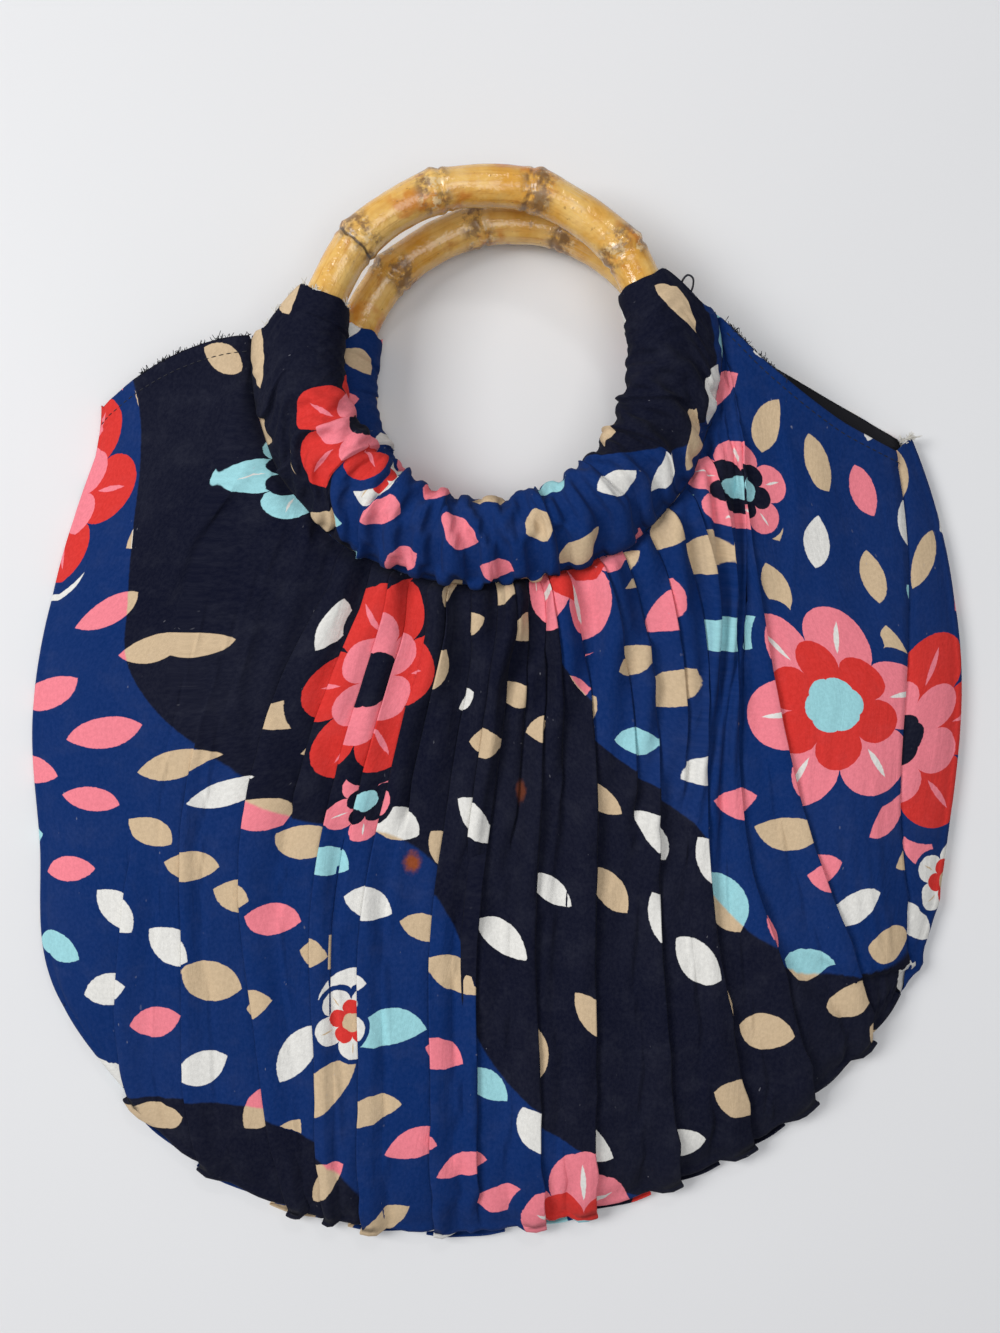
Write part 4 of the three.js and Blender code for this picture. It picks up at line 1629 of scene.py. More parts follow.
    def _wrap(self, cloth: ClothMesh, points: Array, flat: Array, v: Array) -> None:
        """Wrap the panel round the side of the bag to the side seam.

        Args:
            cloth: Mesh to add to.
            points: Points of the panel.
            flat: Their places on the flat cloth.
            v: Rows, from the top.
        """
        left = self.sheet.wraps is Side.LEFT
        corner = OUTLINE.corner_left if left else OUTLINE.corner_right
        foot = OUTLINE.foot_left if left else OUTLINE.foot_right
        half = np.pi * OUTLINE.roll
        least = self.foot_share * half
        reach = np.maximum(least, lerp(half + wrap_width(v) - OUTLINE.roll, least, v**40))
        stops = np.concatenate([np.linspace(0.09, 1.0, 12) * half, half + np.linspace(1.5, 40, 16)])
        lengths = np.minimum(stops[:, None], reach[None, :])
        degrees = lerp(corner, foot, v)
        wrapped, facing = roll_point(degrees[None, :] + 0 * lengths, lengths, self.up, self.other)
        near_seam = (reach[None, :] - lengths) * (lengths > half)
        dip = np.where(lengths > half, -0.8 * np.exp(-((near_seam / 2.2) ** 2)), 0.0)
        ripple = 0.45 * uneven(wrapped[..., 1] / 14, lengths / 9, self.seed + 7)
        ripple = ripple * ease(lengths, half, half + 9)
        seamward = np.where((lengths > half)[..., None], np.array([0.0, 0.0, -float(self.up)]), facing)
        lift = (dip + ripple) if self.up < 0 else 0 * dip
        wrapped = wrapped + seamward * lift[..., None]
        edge = points[0] if left else points[-1]
        strip = np.concatenate([edge[None], wrapped], 0)
        origin = flat[0] if left else flat[-1]
        run = np.concatenate([np.zeros((1, len(v))), lengths], 0) * (-1 if left else 1)
        placed = np.stack([origin[None, :, 0] + run, np.broadcast_to(origin[:, 1], run.shape)], -1)
        cloth.grid(strip, placed, left != (self.up > 0))

    def _mark_hem(self, points: Array, place: Array, v: Array) -> None:
        """Keep the lines of the hem's stitches, and the worn edges beside the sleeve.

        Args:
            points: Points of the panel.
            place: Their shares of the way across.
            v: Rows, from the top.
        """
        top, start, end = place[:, 0], *self.sheet.span
        worn_left = (top > start - self.worn[0]) & (top < start)
        worn_right = (top > end) & (top < end + self.worn[1])
        for chosen in (worn_left, worn_right):
            self.worn_edges.append((points[chosen, 0], points[chosen, 0] - points[chosen, 3]))
        row = int(np.argmin(np.abs(v * PANEL_LENGTH - (self.hem_width - 1.0))))
        u = place[:, row]
        for chosen in (u < start - 0.004, u > end + 0.004):
            line = points[chosen, row]
            if len(line) > 2:
                self.stitch_paths.append(line + np.array([0.0, 0.0, 0.12 * self.up]))


@dataclass(frozen=True)
class Gather:
    """One fold of a gathered sleeve, as shares of its length and of its width."""

    place: float
    lean: float
    lie: int
    tall: float
    hides: float
    start: float
    end: float


@dataclass
class HandleSleeve:
    """Gathered cloth sleeve round one handle, from its cane to its seam."""

    name: str
    seat: RingSeat
    seam_z: float
    seed: int
    lowest: float = 0.05
    highest: float = 99.0
    steps: int = 640
    around: int = 66
    count: int = 14
    loop: float = 11.9
    clear: float = 9.9
    fullness: float = 0.2
    length: float = 262.0
    flat_radius: float = 76.0
    grid: tuple[int, int] = (104, 28)
    raw_edge: tuple[Array, Array] = field(init=False)

    def _section(self, reach: Array, s: Array) -> tuple[Array, Array]:
        """Section of the loop of cloth about the cane, from the lower to the upper seam edge.

        Args:
            reach: How far out of the cane's middle the seam lies, at each step.
            s: Shares of the way round the loop.

        Returns:
            Distances out and heights, with steps and points.
        """
        tip = self.seam_z - self.seat.z
        angles = np.radians([296, 268, 238, 208, 180, 150, 120, 92, 64])
        out = np.concatenate([[0, 0], self.loop * np.cos(angles), [13.5, 20.0, 0]])
        up = np.concatenate([[tip - 1.6, 0], self.loop * np.sin(angles), [6.4, 0.6, tip - 1.0]])
        outs = np.broadcast_to(out, (len(reach), len(out))).copy()
        ups = np.broadcast_to(up, outs.shape).copy()
        outs[:, 0] = outs[:, -1] = reach + 0.8
        outs[:, 1] = lerp(reach, outs[:, 2], 0.45)
        ups[:, 1] = lerp(ups[:, 0], ups[:, 2], 0.35)
        outs[:, -2] = lerp(reach, 20.0, 0.75)
        knots = np.concatenate([[0.0], np.cumsum(np.hypot(np.diff(outs[0]), np.diff(ups[0])))])
        return through(knots / knots[-1], outs, s), through(knots / knots[-1], ups, s)

    def _face(self, t: Array, s: Array) -> tuple[Array, Array, Array]:
        """Smooth sleeve, before its folds.

        Args:
            t: Shares of the way along the ring.
            s: Shares of the way round the loop.

        Returns:
            Points, the directions in which they face, and their angles about the ring.
        """
        reach = seam_radius(lerp(*SEAM_SPAN, t)) - self.seat.radius
        out, up = self._section(reach, s)
        d_out, d_up = np.gradient(out, axis=1), np.gradient(up, axis=1)
        step = np.hypot(d_out, d_up)
        tt, ss = np.broadcast_arrays(t[:, None], s[None, :])
        slant = ease(out, 8.2, float(reach.mean()))
        snug = 0.12 * np.exp(-np.minimum(tt, 1 - tt) * self.length / 4.0) * (1 - slant)
        out, up = out * (1 - snug), up * (1 - snug)
        first = lerp(CANE_SPAN[0], SEAM_SPAN[0], slant)
        final = lerp(CANE_SPAN[1], SEAM_SPAN[1], slant)
        ragged = 0.8 * uneven(ss * 16, 0 * ss, self.seed + 6)
        degrees = lerp(first, final, tt) + ragged * (np.exp(-tt * 60) - np.exp(-(1 - tt) * 60))
        plan = self.seat.point(self.seat.radius + out, degrees)
        a = np.radians(degrees)
        facing = np.stack([-d_up / step * np.cos(a), -d_up / step * np.sin(a), d_out / step], -1)
        return raised(plan, self.seat.z + up), facing, degrees

    def _settled(self) -> Array:
        """Gathers of the sleeve, settled on an even grid.

        Returns:
            The move of each grid point, and the spare cloth up to it along the ring.
        """
        t, s = (np.linspace(0, 1, n) for n in self.grid)
        points, facing, _ = self._face(t, s)
        tt, ss = np.broadcast_arrays(t[:, None], s[None, :])
        bunched = ease(tt, 0.1, 0.3) * (1 - ease(tt, 0.74, 0.95))
        full = lerp(0.02, self.fullness, bunched) * (1 + 0.5 * uneven(tt * 11, 0 * tt, self.seed + 12))
        spare = full * (0.35 + 0.65 * ease(ss, 0.2, 0.5))
        at_seam = 1 - ease(np.minimum(ss, 1 - ss), 0.0, 0.05)
        at_end = 0.6 * (1 - ease(np.minimum(tt, 1 - tt), 0, 0.02))
        held = np.maximum(at_seam, at_end)
        grids = (points, facing, spare, held)
        turned = [np.ascontiguousarray(np.swapaxes(grid, 0, 1)) for grid in grids]
        cloth = SlackCloth(*turned, lowest=-1.6, highest=3.0, ripples=(20.0, 1.6), seed=self.seed)
        steps = np.linalg.norm(np.diff(points, axis=0), axis=-1).mean(1, keepdims=True)
        hidden = np.cumsum(steps * (full[1:] + full[:-1]) / 2, axis=0)
        hidden = np.concatenate([np.zeros((1, len(s))), hidden])
        return np.concatenate([cloth.settle(), hidden.T[..., None]], -1)

    def _gathers(self) -> list[Gather]:
        """Folds of the sleeve, bunched along its lower part.

        Returns:
            The folds, in order along the sleeve.
        """
        chance = np.random.default_rng(self.seed)
        strays = chance.uniform(-0.4, 0.4, self.count) * 0.9 / self.count
        made = []
        for place in np.linspace(0.05, 0.95, self.count) + strays:
            bunched = float(ease(place, 0.04, 0.24) * (1 - ease(place, 0.74, 0.97)))
            full = chance.uniform() < 0.62
            made.append(Gather(
                place=float(place),
                lean=float(0.2 * (place - 0.5) + chance.normal(0, 0.025)),
                lie=1 if (place < 0.5) == (chance.uniform() < 0.72) else -1,
                tall=float(chance.uniform(1.0, 2.1) * lerp(0.45, 1.0, bunched)),
                hides=float(chance.uniform(3.0, 9.0) * lerp(0.25, 1.0, bunched)),
                start=float(chance.uniform(0.1, 0.3) if full else chance.uniform(0.45, 0.75)),
                end=float(1.2 if chance.uniform() < 0.8 else chance.uniform(0.7, 0.85)),
            ))
        return made

    def _folds(self, t: Array, s: Array) -> tuple[Array, Array]:
        """Folds over the sleeve.

        Args:
            t: Shares of the way along the ring.
            s: Shares of the way round the loop.

        Returns:
            The height of the folds and the cloth that they hide.
        """
        z = 0.25 * uneven(t * 17, s * 4, self.seed + 3) + 0.12 * uneven(t * 55, s * 17, self.seed + 4)
        hidden = 0 * t
        for k, fold in enumerate(self._gathers()):
            wander = 0.011 * uneven(s * 3.1 + 7 * k, 0 * s, self.seed + 8)
            x = (t - fold.place - fold.lean * (s - 0.6) - wander) * self.length * fold.lie
            strength = ease(s, fold.start, fold.start + 0.2) * (1 - ease(s, fold.end - 0.2, fold.end))
            tall = fold.tall * strength * (1 + 0.3 * ease(s, 0.75, 0.95))
            rise = tall * np.exp(np.minimum(x, 0) / 6.0)
            valley = -0.5 * tall * np.exp(-np.maximum(x, 0) / 3.4)
            z = z + lerp(rise, valley, ease(x, -0.55, 0.55))
            hidden = hidden + fold.lie * fold.hides * strength * ease(x, -0.45, 0.6)
        return z * ease(np.minimum(s, 1 - s), -0.02, 0.05), hidden

    def build(self, material: Material) -> Object:
        """Make the sleeve.

        Args:
            material: Finish of the cloth.

        Returns:
            The finished object.
        """
        t, s = np.linspace(0, 1, self.steps), np.linspace(0, 1, self.around)
        points, facing, degrees = self._face(t, s)
        tt, ss = np.broadcast_arrays(t[:, None], s[None, :])
        lift, hidden = self._folds(tt, ss)
        settled = sample(self._settled(), tt, ss)
        below = ease(-facing[..., 2], 0.1, 0.7) * (points[..., 2] < self.seat.z)
        quiet = 1 - 0.85 * below[..., None]
        move = (facing * lift[..., None] + settled[..., :3]) * quiet
        inward = (move * facing).sum(-1)
        shallow = 0.55 - self.loop + self.clear
        move = move + facing * (np.maximum(inward, shallow) - inward)[..., None]
        points = points + move
        points[..., 2] = np.clip(points[..., 2], self.lowest, self.highest)
        shown = slice(int(0.4 * self.around), int(0.95 * self.around))
        self.raw_edge = (points[0, shown], points[0, shown] - points[6, shown])
        along = np.radians(degrees) * self.flat_radius + hidden + settled[..., 3]
        steps = np.linalg.norm(np.diff(points, axis=1), axis=-1).mean(0)
        down = np.cumsum(np.concatenate([[0.0], steps]))
        flat = np.stack(np.broadcast_arrays(-along, down[None, :]), -1)
        cloth = ClothMesh()
        cloth.grid(points, flat, True)
        return cloth.build(self.name, material, CLOTH)


KNOT_RISES = (  # rise, place beside the knot, half width
    (0.6, 0.0, 1.5), (0.5, 2.0, 6.0), (-0.45, -2.6, 0.8), (0.25, -4.3, 1.1),
)


@dataclass
class BambooHandle:
    """Bent bamboo hoop with swollen, scarred knots."""

    name: str
    seat: RingSeat
    knots: tuple[float, ...]
    seed: int
    cracked: int = -1
    cane: float = 7.9
    straight: float = 0.32
    lump: float = 0.24
    fine: float = 0.09
    steps: int = 520
    around: int = 40

    def _bend(self, degrees: Array) -> Array:
        """Ring radius, a little straighter between its knots than a circle.

        Args:
            degrees: Angles about the ring.

        Returns:
            The radii in millimetres.
        """
        knots = np.sort(np.array(self.knots, float))
        n = np.searchsorted(knots, degrees % 360.0, side="right")
        before, after = knots[n - 1], knots[n % len(knots)]
        half = np.radians((after - before) % 360.0) / 2
        off = np.radians((degrees - before) % 360.0) - half
        return self.seat.radius * (1 + self.straight * (np.cos(half) / np.cos(off) - 1)) + 0.3

    def build(self, material: Material) -> Object:
        """Make the hoop.

        Args:
            material: Finish of the cane.

        Returns:
            The finished object.
        """
        degrees = np.linspace(0, 360, self.steps + 1)[:, None]
        turn = np.linspace(0, 2 * np.pi, self.around + 1)[None, :]
        wander = uneven(np.cos(turn) * 2 + 9, np.sin(turn) * 2 + 9, self.seed)
        radius = self.cane + 0 * (degrees + turn)
        mark, cleft = 0 * radius, 0 * radius
        for k, knot in enumerate(self.knots):
            off = ((degrees - knot + 180) % 360 - 180) * np.pi / 180 * self.seat.radius
            off = off + 1.5 * np.roll(wander, 7 * k, axis=1)
            side = 1 if k % 2 else -1
            for rise, place, half in KNOT_RISES:
                radius = radius + rise * bump_at(off, place * side, half)
            mark = np.maximum(mark, bump_at(off, 0.8 * side, 6.2))
            deep = 1.0 if k == self.cracked else 0.42
            cleft = np.maximum(cleft, deep * bump_at(off, -2.6 * side, 0.7))
        lumps = uneven(degrees / 9 + 0 * turn, 3 + 1.4 * np.cos(turn), self.seed + 1)
        fine = uneven(degrees / 2.6, 20 + 2.6 * np.cos(turn), self.seed + 2)
        fine = fine + uneven(degrees / 3.1 + 30, 20 + 2.6 * np.sin(turn), self.seed + 3)
        relief = self.lump * lumps + self.fine * fine
        radius = radius + relief * np.sin(np.radians(degrees) / 2) ** 0.2
        ring = self._bend(degrees) + radius * np.cos(turn)
        a = np.radians(degrees)
        x, y = self.seat.x + ring * np.cos(a), self.seat.y + ring * np.sin(a)
        z = self.seat.z + radius * np.sin(turn)
        points = np.stack([x, y, z], -1)
        points[-1] = points[0]
        points[:, -1] = points[:, 0]
        flat = np.stack(np.broadcast_arrays(a * self.seat.radius, turn * self.cane), -1)
        hoop = ClothMesh()
        hoop.grid(points, flat, False, knot=mark, cleft=cleft)
        return hoop.build(self.name, material)


@dataclass
class InnerBag:
    """Black lining: a front and a back sheet sewn together along the sides and the bottom."""

    inset: float = 0.007
    drop: float = 4.2
    rise: float = 1.9
    thick: float = 0.35
    columns: int = 110
    rows: int = 90

    def build(self, material: Material) -> Object:
        """Make the lining.

        Args:
            material: Finish of the cloth.

        Returns:
            The finished object.
        """
        across = np.linspace(0, 1, self.columns)[:, None]
        down = np.concatenate([np.linspace(0, 0.05, 8), np.linspace(0.06, 1, self.rows - 8)])[None, :]
        across, down = np.broadcast_arrays(across, down)
        u = lerp(self.inset, 1 - self.inset, across)
        front = ClothSheet(FRONT_SEAT, Side.BOTH, 5.0, -5.0).plan(u, lerp(0.03, 1 - self.inset, down))
        back = ClothSheet(BACK_SEAT, Side.BOTH, 3.0, 1.0).plan(u, lerp(0.0015, 1 - self.inset, down))
        sewn = np.minimum(np.minimum(across, 1 - across) * 340, (1 - down) * PANEL_LENGTH)
        seam = (front + back) / 2
        cloth = ClothMesh()
        for plan, up in ((front, 1), (back, -1)):
            apart = ease(sewn, 0, 12)
            if up < 0:
                apart = np.maximum(apart, 1 - ease(down, 0.01, 0.06))
            plan = lerp(seam, plan, apart[..., None])
            high = front_height(plan) - WALL / 2 - self.drop
            low = back_height(plan) + self.rise
            height = high if up > 0 else low
            z = lerp((high + low) / 2, height, ease(sewn, 0, 9) ** 0.6)
            waves = np.abs(uneven(plan[..., 0] / 13, plan[..., 1] / 35, 31 + up))
            z = z - 0.5 * up * waves * ease(sewn, 4, 16)
            cloth.grid(raised(plan, z), plan, up > 0)
        return cloth.build("inner_lining", material, self.thick)


@dataclass
class StitchRun:
    """Rows of stitches set along lines by geometry nodes."""

    name: str
    material: Material
    pitch: float = 2.9
    long: float = 2.1
    thick: float = 0.42

    @property
    def sizes(self) -> dict[str, float]:
        """Sizes that the node tree takes, in metres."""
        return {"Pitch": self.pitch * MM, "Length": self.long * MM, "Thickness": self.thick * MM}

    def _tree(self) -> NodeTree:
        """Node tree that turns lines into stitches.

        Returns:
            The tree.
        """
        tree = bpy.data.node_groups.new("StitchesAlongLines", "GeometryNodeTree")
        tree.interface.new_socket("Lines", in_out="INPUT", socket_type="NodeSocketGeometry")
        for title in self.sizes:
            tree.interface.new_socket(title, in_out="INPUT", socket_type="NodeSocketFloat")
        tree.interface.new_socket("Stitches", in_out="OUTPUT", socket_type="NodeSocketGeometry")
        add = tree.nodes.new
        given, result = add("NodeGroupInput"), add("NodeGroupOutput")
        spaced = add("GeometryNodeResampleCurve")
        spaced.mode = "LENGTH"
        stitch = add("GeometryNodeMeshUVSphere")
        stitch.inputs["Segments"].default_value = 8
        stitch.inputs["Rings"].default_value = 5
        stitch.inputs["Radius"].default_value = 0.5
        size = add("ShaderNodeCombineXYZ")
        tangent, turn = add("GeometryNodeInputTangent"), add("FunctionNodeAlignRotationToVector")
        turn.axis = "Z"
        placed = add("GeometryNodeInstanceOnPoints")
        real, dressed = add("GeometryNodeRealizeInstances"), add("GeometryNodeSetMaterial")
        dressed.inputs["Material"].default_value = self.material
        links = (
            (given, "Lines", spaced, "Curve"),
            (given, "Pitch", spaced, "Length"),
            (given, "Thickness", size, "X"),
            (given, "Thickness", size, "Y"),
            (given, "Length", size, "Z"),
            (tangent, "Tangent", turn, "Vector"),
            (spaced, "Curve", placed, "Points"),
            (stitch, "Mesh", placed, "Instance"),
            (turn, "Rotation", placed, "Rotation"),
            (size, "Vector", placed, "Scale"),
            (placed, "Instances", real, "Geometry"),
            (real, "Geometry", dressed, "Geometry"),
            (dressed, "Geometry", result, "Stitches"),
        )
        for source, output, target, entry in links:
            tree.links.new(source.outputs[output], target.inputs[entry])
        return tree

    def build(self, lines: Sequence[Array]) -> Object:
        """Make the stitches.

        Args:
            lines: Lines of points in millimetres.

        Returns:
            The stitches as one plain mesh.
        """
        curve = bpy.data.curves.new(self.name + "_lines", "CURVE")
        curve.dimensions = "3D"
        for line in lines:
            spline = curve.splines.new("POLY")
            spline.points.add(len(line) - 1)
            weights = np.ones((len(line), 1))
            spline.points.foreach_set("co", np.concatenate([line * MM, weights], 1).reshape(-1))
        guide = new_object(self.name + "_lines", curve)
        modifier = guide.modifiers.new("Stitches", "NODES")
        modifier.node_group = self._tree()
        for item in modifier.node_group.interface.items_tree:
            if item.in_out == "INPUT" and item.name in self.sizes:
                modifier[item.identifier] = self.sizes[item.name]
        graph = bpy.context.evaluated_depsgraph_get()
        mesh = bpy.data.meshes.new_from_object(guide.evaluated_get(graph))
        mesh.name = self.name
        bpy.data.objects.remove(guide)
        return new_object(self.name, mesh)


@dataclass
class LooseThreads:
    """Thread ends at raw edges, and threads that have worked loose."""

    name: str
    edges: list[tuple[Array, Array]]
    loops: tuple[tuple[tuple[float, float, float], ...], ...] = ()
    thick: float = 0.26
    reach: float = 1.3
    count: int = 150
    tufts: int = 11
    seed: int = 5
    sides: int = 6
    tip: float = 0.02

    def _tube(self, cloth: ClothMesh, line: Array) -> None:
        """Add a thread along a line.

        Args:
            cloth: Mesh to add to.
            line: Points in millimetres.
        """
        ahead = unit(np.gradient(line, axis=0))
        side = unit(np.cross(ahead, np.array([0.3, 0.2, 0.93])))
        over = np.cross(side, ahead)
        turn = np.linspace(0, 2 * np.pi, self.sides + 1)
        size = np.full(len(line), self.thick / 2)
        size[0] = size[-1] = self.tip
        ring = side[:, None] * np.cos(turn)[None, :, None] + over[:, None] * np.sin(turn)[None, :, None]
        points = line[:, None] + ring * size[:, None, None]
        points[:, -1] = points[:, 0]
        cloth.grid(points, np.zeros((*points.shape[:2], 2)))

    def build(self, material: Material) -> Object:
        """Make the threads.

        Args:
            material: Finish of the thread.

        Returns:
            The threads as one object.
        """
        chance = np.random.default_rng(self.seed)
        cloth = ClothMesh()
        for line, outward in self.edges:
            tufts = chance.uniform(0, 1, self.tufts) ** 1.3 * (len(line) - 1)
            for n in range(self.count):
                share = float(np.clip(tufts[n % self.tufts] + chance.normal(0, 0.5), 0, len(line) - 1))
                root = np.array([np.interp(share, np.arange(len(line)), line[:, i]) for i in range(3)])
                out = unit(outward[int(share)]) + chance.normal(0, 0.7, 3)
                curl = chance.normal(0, 1.1, 3)
                t = np.linspace(0, 1, 7)[:, None]
                reach = self.reach * chance.uniform(0.3, 1.0)
                self._tube(cloth, root - 0.3 * out + (out * t + curl * t * t * (1.4 - t)) * reach)
        for loop in self.loops:
            bends = np.array(loop, float)
            knots = np.linspace(0, 1, len(bends))
            fine = np.linspace(0, 1, 8 * len(bends))
            self._tube(cloth, through(knots, bends.T, fine).T)
        return cloth.build(self.name, material)


@dataclass
class Studio:
    """Pale table, soft light and a camera that looks straight down."""

    distance: float = 0.56
    view_height: float = 0.5332
    middle: tuple[float, float] = (0.00115, 0.0175)
    sensor: float = 36.0

    def build(self) -> None:
        """Make the table, the lights and the camera."""
        self._table()
        self._lights()
        self._camera()

    def _table(self) -> None:
        """Wide pale table top."""
        mesh = bpy.data.meshes.new("table_top")
        size, low = 9.0, -0.0002
        corners = [(x * size, y * size, low) for x, y in ((-1, -1), (1, -1), (1, 1), (-1, 1))]
        mesh.from_pydata(corners, [], [(0, 1, 2, 3)])
        made, g, shader = start_material("pale_table")
        cloud = g.noise(g.add("ShaderNodeTexCoord").outputs["Object"], 3.0)
        g.feed(shader["Base Color"], g.mix(cloud, linear(219, 219, 219), linear(225, 225, 226)))
        shader["Roughness"].default_value = 0.5
        shader["Specular IOR Level"].default_value = 0.3
        mesh.materials.append(made)
        table = new_object("table_top", mesh)

    def _lights(self) -> None:
        """Broad soft light from above and a weaker one from the side."""
        settings = (
            ("window_light", (-1.35, 0.4, 1.5), 0.9, 29.0),
            ("ceiling_light", (0.25, -0.1, 1.6), 0.9, 8.0),
            ("lamp_light", (0.12, 0.75, 0.8), 0.1, 0.8),
        )
        for name, place, size, power in settings:
            light = bpy.data.lights.new(name, "AREA")
            light.size, light.energy = size, power
            lamp = new_object(name, light)
            lamp.location = place
            lamp.rotation_mode = "QUATERNION"
            lamp.rotation_quaternion = (-Vector(place)).to_track_quat("-Z", "Y")
        world = bpy.data.worlds.new("room")
        world.use_nodes = True
        sky = world.node_tree.nodes["Background"].inputs
        sky["Color"].default_value = (0.9, 0.93, 1.0, 1.0)
        sky["Strength"].default_value = 0.27
        bpy.context.scene.world = world
        bpy.context.scene.view_settings.view_transform = "Standard"

    def _camera(self) -> None:
        """Camera over the bag, with the handles at the top of the picture."""
        lens = bpy.data.cameras.new("camera")
        lens.sensor_fit = "VERTICAL"
        lens.sensor_height = self.sensor
        lens.lens = self.sensor * self.distance / self.view_height
        lens.clip_start = 0.01
        camera = new_object("camera", lens)
        camera.location = (*self.middle, self.distance)
        bpy.context.scene.camera = camera


def with_gathers(pleats: Sequence[Pleat]) -> tuple[Pleat, ...]:
    """Add a short gather at the seam between each two pleats.

    Args:
        pleats: Pleats in order across the panel.

    Returns:
        The pleats and the gathers in order.
    """
    made = [pleats[0]]
    for k, (a, b) in enumerate(zip(pleats, pleats[1:])):
        share = (0.5, 0.38, 0.6)[k % 3]
        pairs = ((a.top, b.top), (a.middle, b.middle), (a.foot, b.foot))
        places = [float(lerp(*pair, share)) for pair in pairs]
        wide = 1.0 if 0.32 < places[0] < 0.66 else 0.1
        made += [Pleat(*places, a.lie, wide * (4.5, 3.4, 5.2)[k % 3], 0.0, 0.0), b]
    return tuple(made)


FRONT_PLEATS = with_gathers((
    Pleat(0.215, 0.135, 0.105, -1, 0, 0, 3.6),
    Pleat(0.295, 0.215, 0.2, -1, 0, 1.4, 3.2),
    Pleat(0.345, 0.292, 0.295, -1, 6, 4, 7),
    Pleat(0.39, 0.362, 0.33, -1, 7, 6.5, 3),
    Pleat(0.425, 0.402, 0.368, -1, 5, 2.4, 8),
    Pleat(0.458, 0.455, 0.44, -1, 6, 4.5, 2),
    Pleat(0.486, 0.487, 0.485, 1, 6, 4, 1),
    Pleat(0.506, 0.53, 0.552, 1, 5, 2.2, 6),
    Pleat(0.53, 0.578, 0.606, 1, 8, 9, 9),
    Pleat(0.58, 0.64, 0.7, 1, 6, 2.4, 6),
    Pleat(0.632, 0.706, 0.785, 1, 6, 8.5, 9),
    Pleat(0.69, 0.772, 0.862, 1, 1.2, 5.5, 7),
    Pleat(0.757, 0.856, 0.945, 1, 0.3, 5, 6),
))
BACK_PLEATS = tuple(
    Pleat(0.2 + 0.06 * k, 0.14 + 0.075 * k, 0.12 + 0.078 * k, -1 if k < 5 else 1, 5, 3, 5)
    for k in range(10)
)
FRONT_FOLDS = (
    DrawnFold(((-128, 38), (-122, 50), (-115, 66), (-102, 81), (-93, 91), (-84, 95)), 1.9, 9.0),
    DrawnFold(((-92, 123), (-98, 123), (-108, 118), (-116, 108)), 1.2, 8.0, 0.8),
    DrawnFold(((134, -119), (122, -110), (112, -99), (106, -82), (99, -66)), 2.8, 8.0),
    DrawnFold(((104, -80), (116, -91), (140, -102), (154, -101), (168, -101)), 2.8, 8.0),
    DrawnFold(((103, 119), (109, 101), (112, 88), (113, 70), (110, 30)), 2.0, 7.0, 0.6),
    DrawnFold(((84, 111), (90, 95), (94, 80), (97, 62), (98, 35)), 2.0, 6.0, 0.6),
    DrawnFold(((118, 106), (121, 92), (122, 70)), 1.5, 6.0, 1.0),
)
FRONT_KNOTS = (3, 38, 73, 107, 137, 172, 205, 238, 271, 304, 337)
BACK_KNOTS = (4, 37, 71, 102, 136, 168, 203, 236, 269, 302, 335)
SNAG = (
    (69.2, 159.5, 36), (69.4, 161.8, 37), (71.2, 163.6, 37.5),
    (73.2, 162.6, 37), (73.4, 160, 36), (72.4, 157, 35),
)
STRAYS = (
    ((-19, 58, 29), (-18, 55, 31.5), (-16, 51, 31.5)),
    ((13, 54, 29), (14.5, 50, 31), (15, 46, 31)),
)
FRAYED_TIP = ((158.7, 106.0), (160.8, 106.9), (163.0, 107.6), (165.0, 108.0))


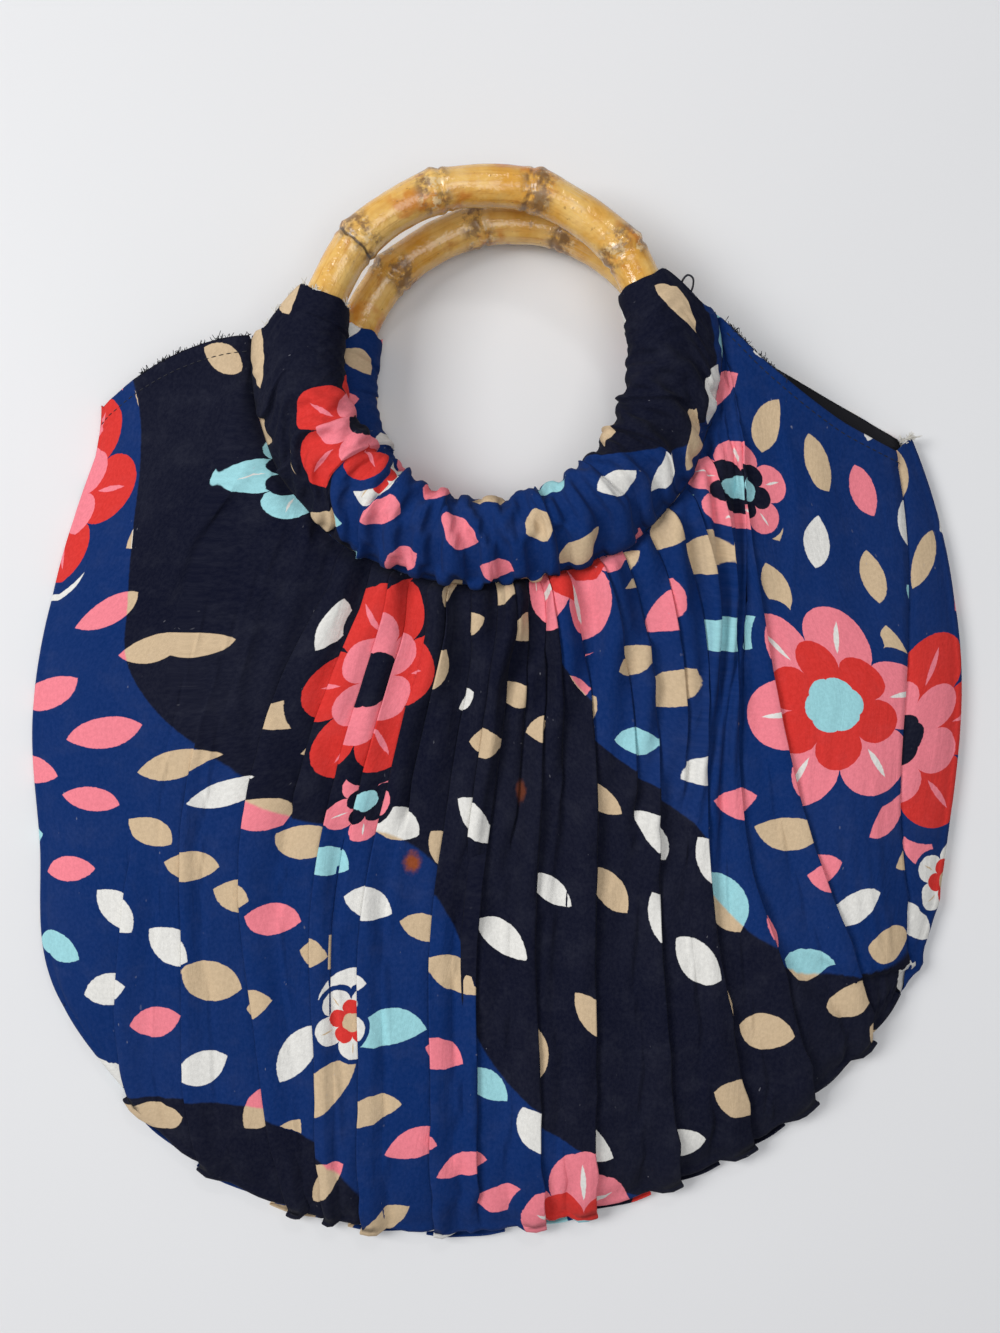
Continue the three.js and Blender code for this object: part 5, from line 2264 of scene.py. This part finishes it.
def main() -> None:
    """Build the tote piece by piece and dress it."""
    logging.basicConfig(level=logging.INFO, format="%(name)s: %(message)s")
    groups = Groups()
    cotton = PrintedCotton()
    twill = BlackTwill().material(groups)
    bamboo = LacqueredBamboo().material()
    dark = SewingThread("dark_thread", (22, 24, 36)).material()
    pale = SewingThread("pale_thread", (214, 210, 200)).material()

    front_plan = ClothSheet(FRONT_SEAT, Side.LEFT, 5.0, -6.2)
    front = PleatedPanel("front_cloth", front_plan, 1, FRONT_PLEATS, FRONT_FOLDS, 1.25, 92)
    back_plan = ClothSheet(BACK_SEAT, Side.RIGHT, 3.0, 1.0)
    back = PleatedPanel("back_cloth", back_plan, -1, BACK_PLEATS, (), 0.6, 70, seed=41)
    front_sleeve = HandleSleeve("front_sleeve", FRONT_SEAT, SEAM_Z["front"], 61, lowest=22.6)
    back_sleeve = HandleSleeve(
        "back_sleeve", BACK_SEAT, SEAM_Z["back"], 83, highest=22.2, steps=420, around=52
    )
    pieces = {
        "front_panel": front.build(cotton.material("front_print", groups, (0.31, 0.27), True)),
        "back_panel": back.build(cotton.material("back_print", groups, (0.9, 0.12))),
        "front_casing": front_sleeve.build(cotton.material("front_sleeve_print", groups, (1.4, 0.55))),
        "back_casing": back_sleeve.build(cotton.material("back_sleeve_print", groups, (2.1, 0.4))),
        "front_ring": BambooHandle("front_hoop", FRONT_SEAT, FRONT_KNOTS, 7, cracked=4).build(bamboo),
        "back_ring": BambooHandle("back_hoop", BACK_SEAT, BACK_KNOTS, 13).build(bamboo),
        "lining": InnerBag().build(twill),
    }
    for node, piece in pieces.items():
        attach(piece, "root")
        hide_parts(node)
        LOG.info("%s stands for %s", piece.name, node)

    stitches = StitchRun("hem_stitches", dark).build(front.stitch_paths + back.stitch_paths)
    ends = LooseThreads("dark_thread_ends", front.worn_edges).build(dark)
    snag = LooseThreads("thread_loop", [], (SNAG,), 0.8).build(dark)
    tip = np.array(FRAYED_TIP)
    tip_edge = (raised(tip, front_height(tip)), np.tile([0.4, 0.5, 0.5], (len(tip), 1)))
    frayed = [front_sleeve.raw_edge, tip_edge]
    bits = LooseThreads("pale_thread_ends", frayed, STRAYS, 0.3, 1.9, 70, 9, 9).build(pale)
    for piece in (stitches, ends, snag, bits):
        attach(piece, "root")
        LOG.info("%s added", piece.name)

    Studio().build()


if __name__ == "__main__":
    main()
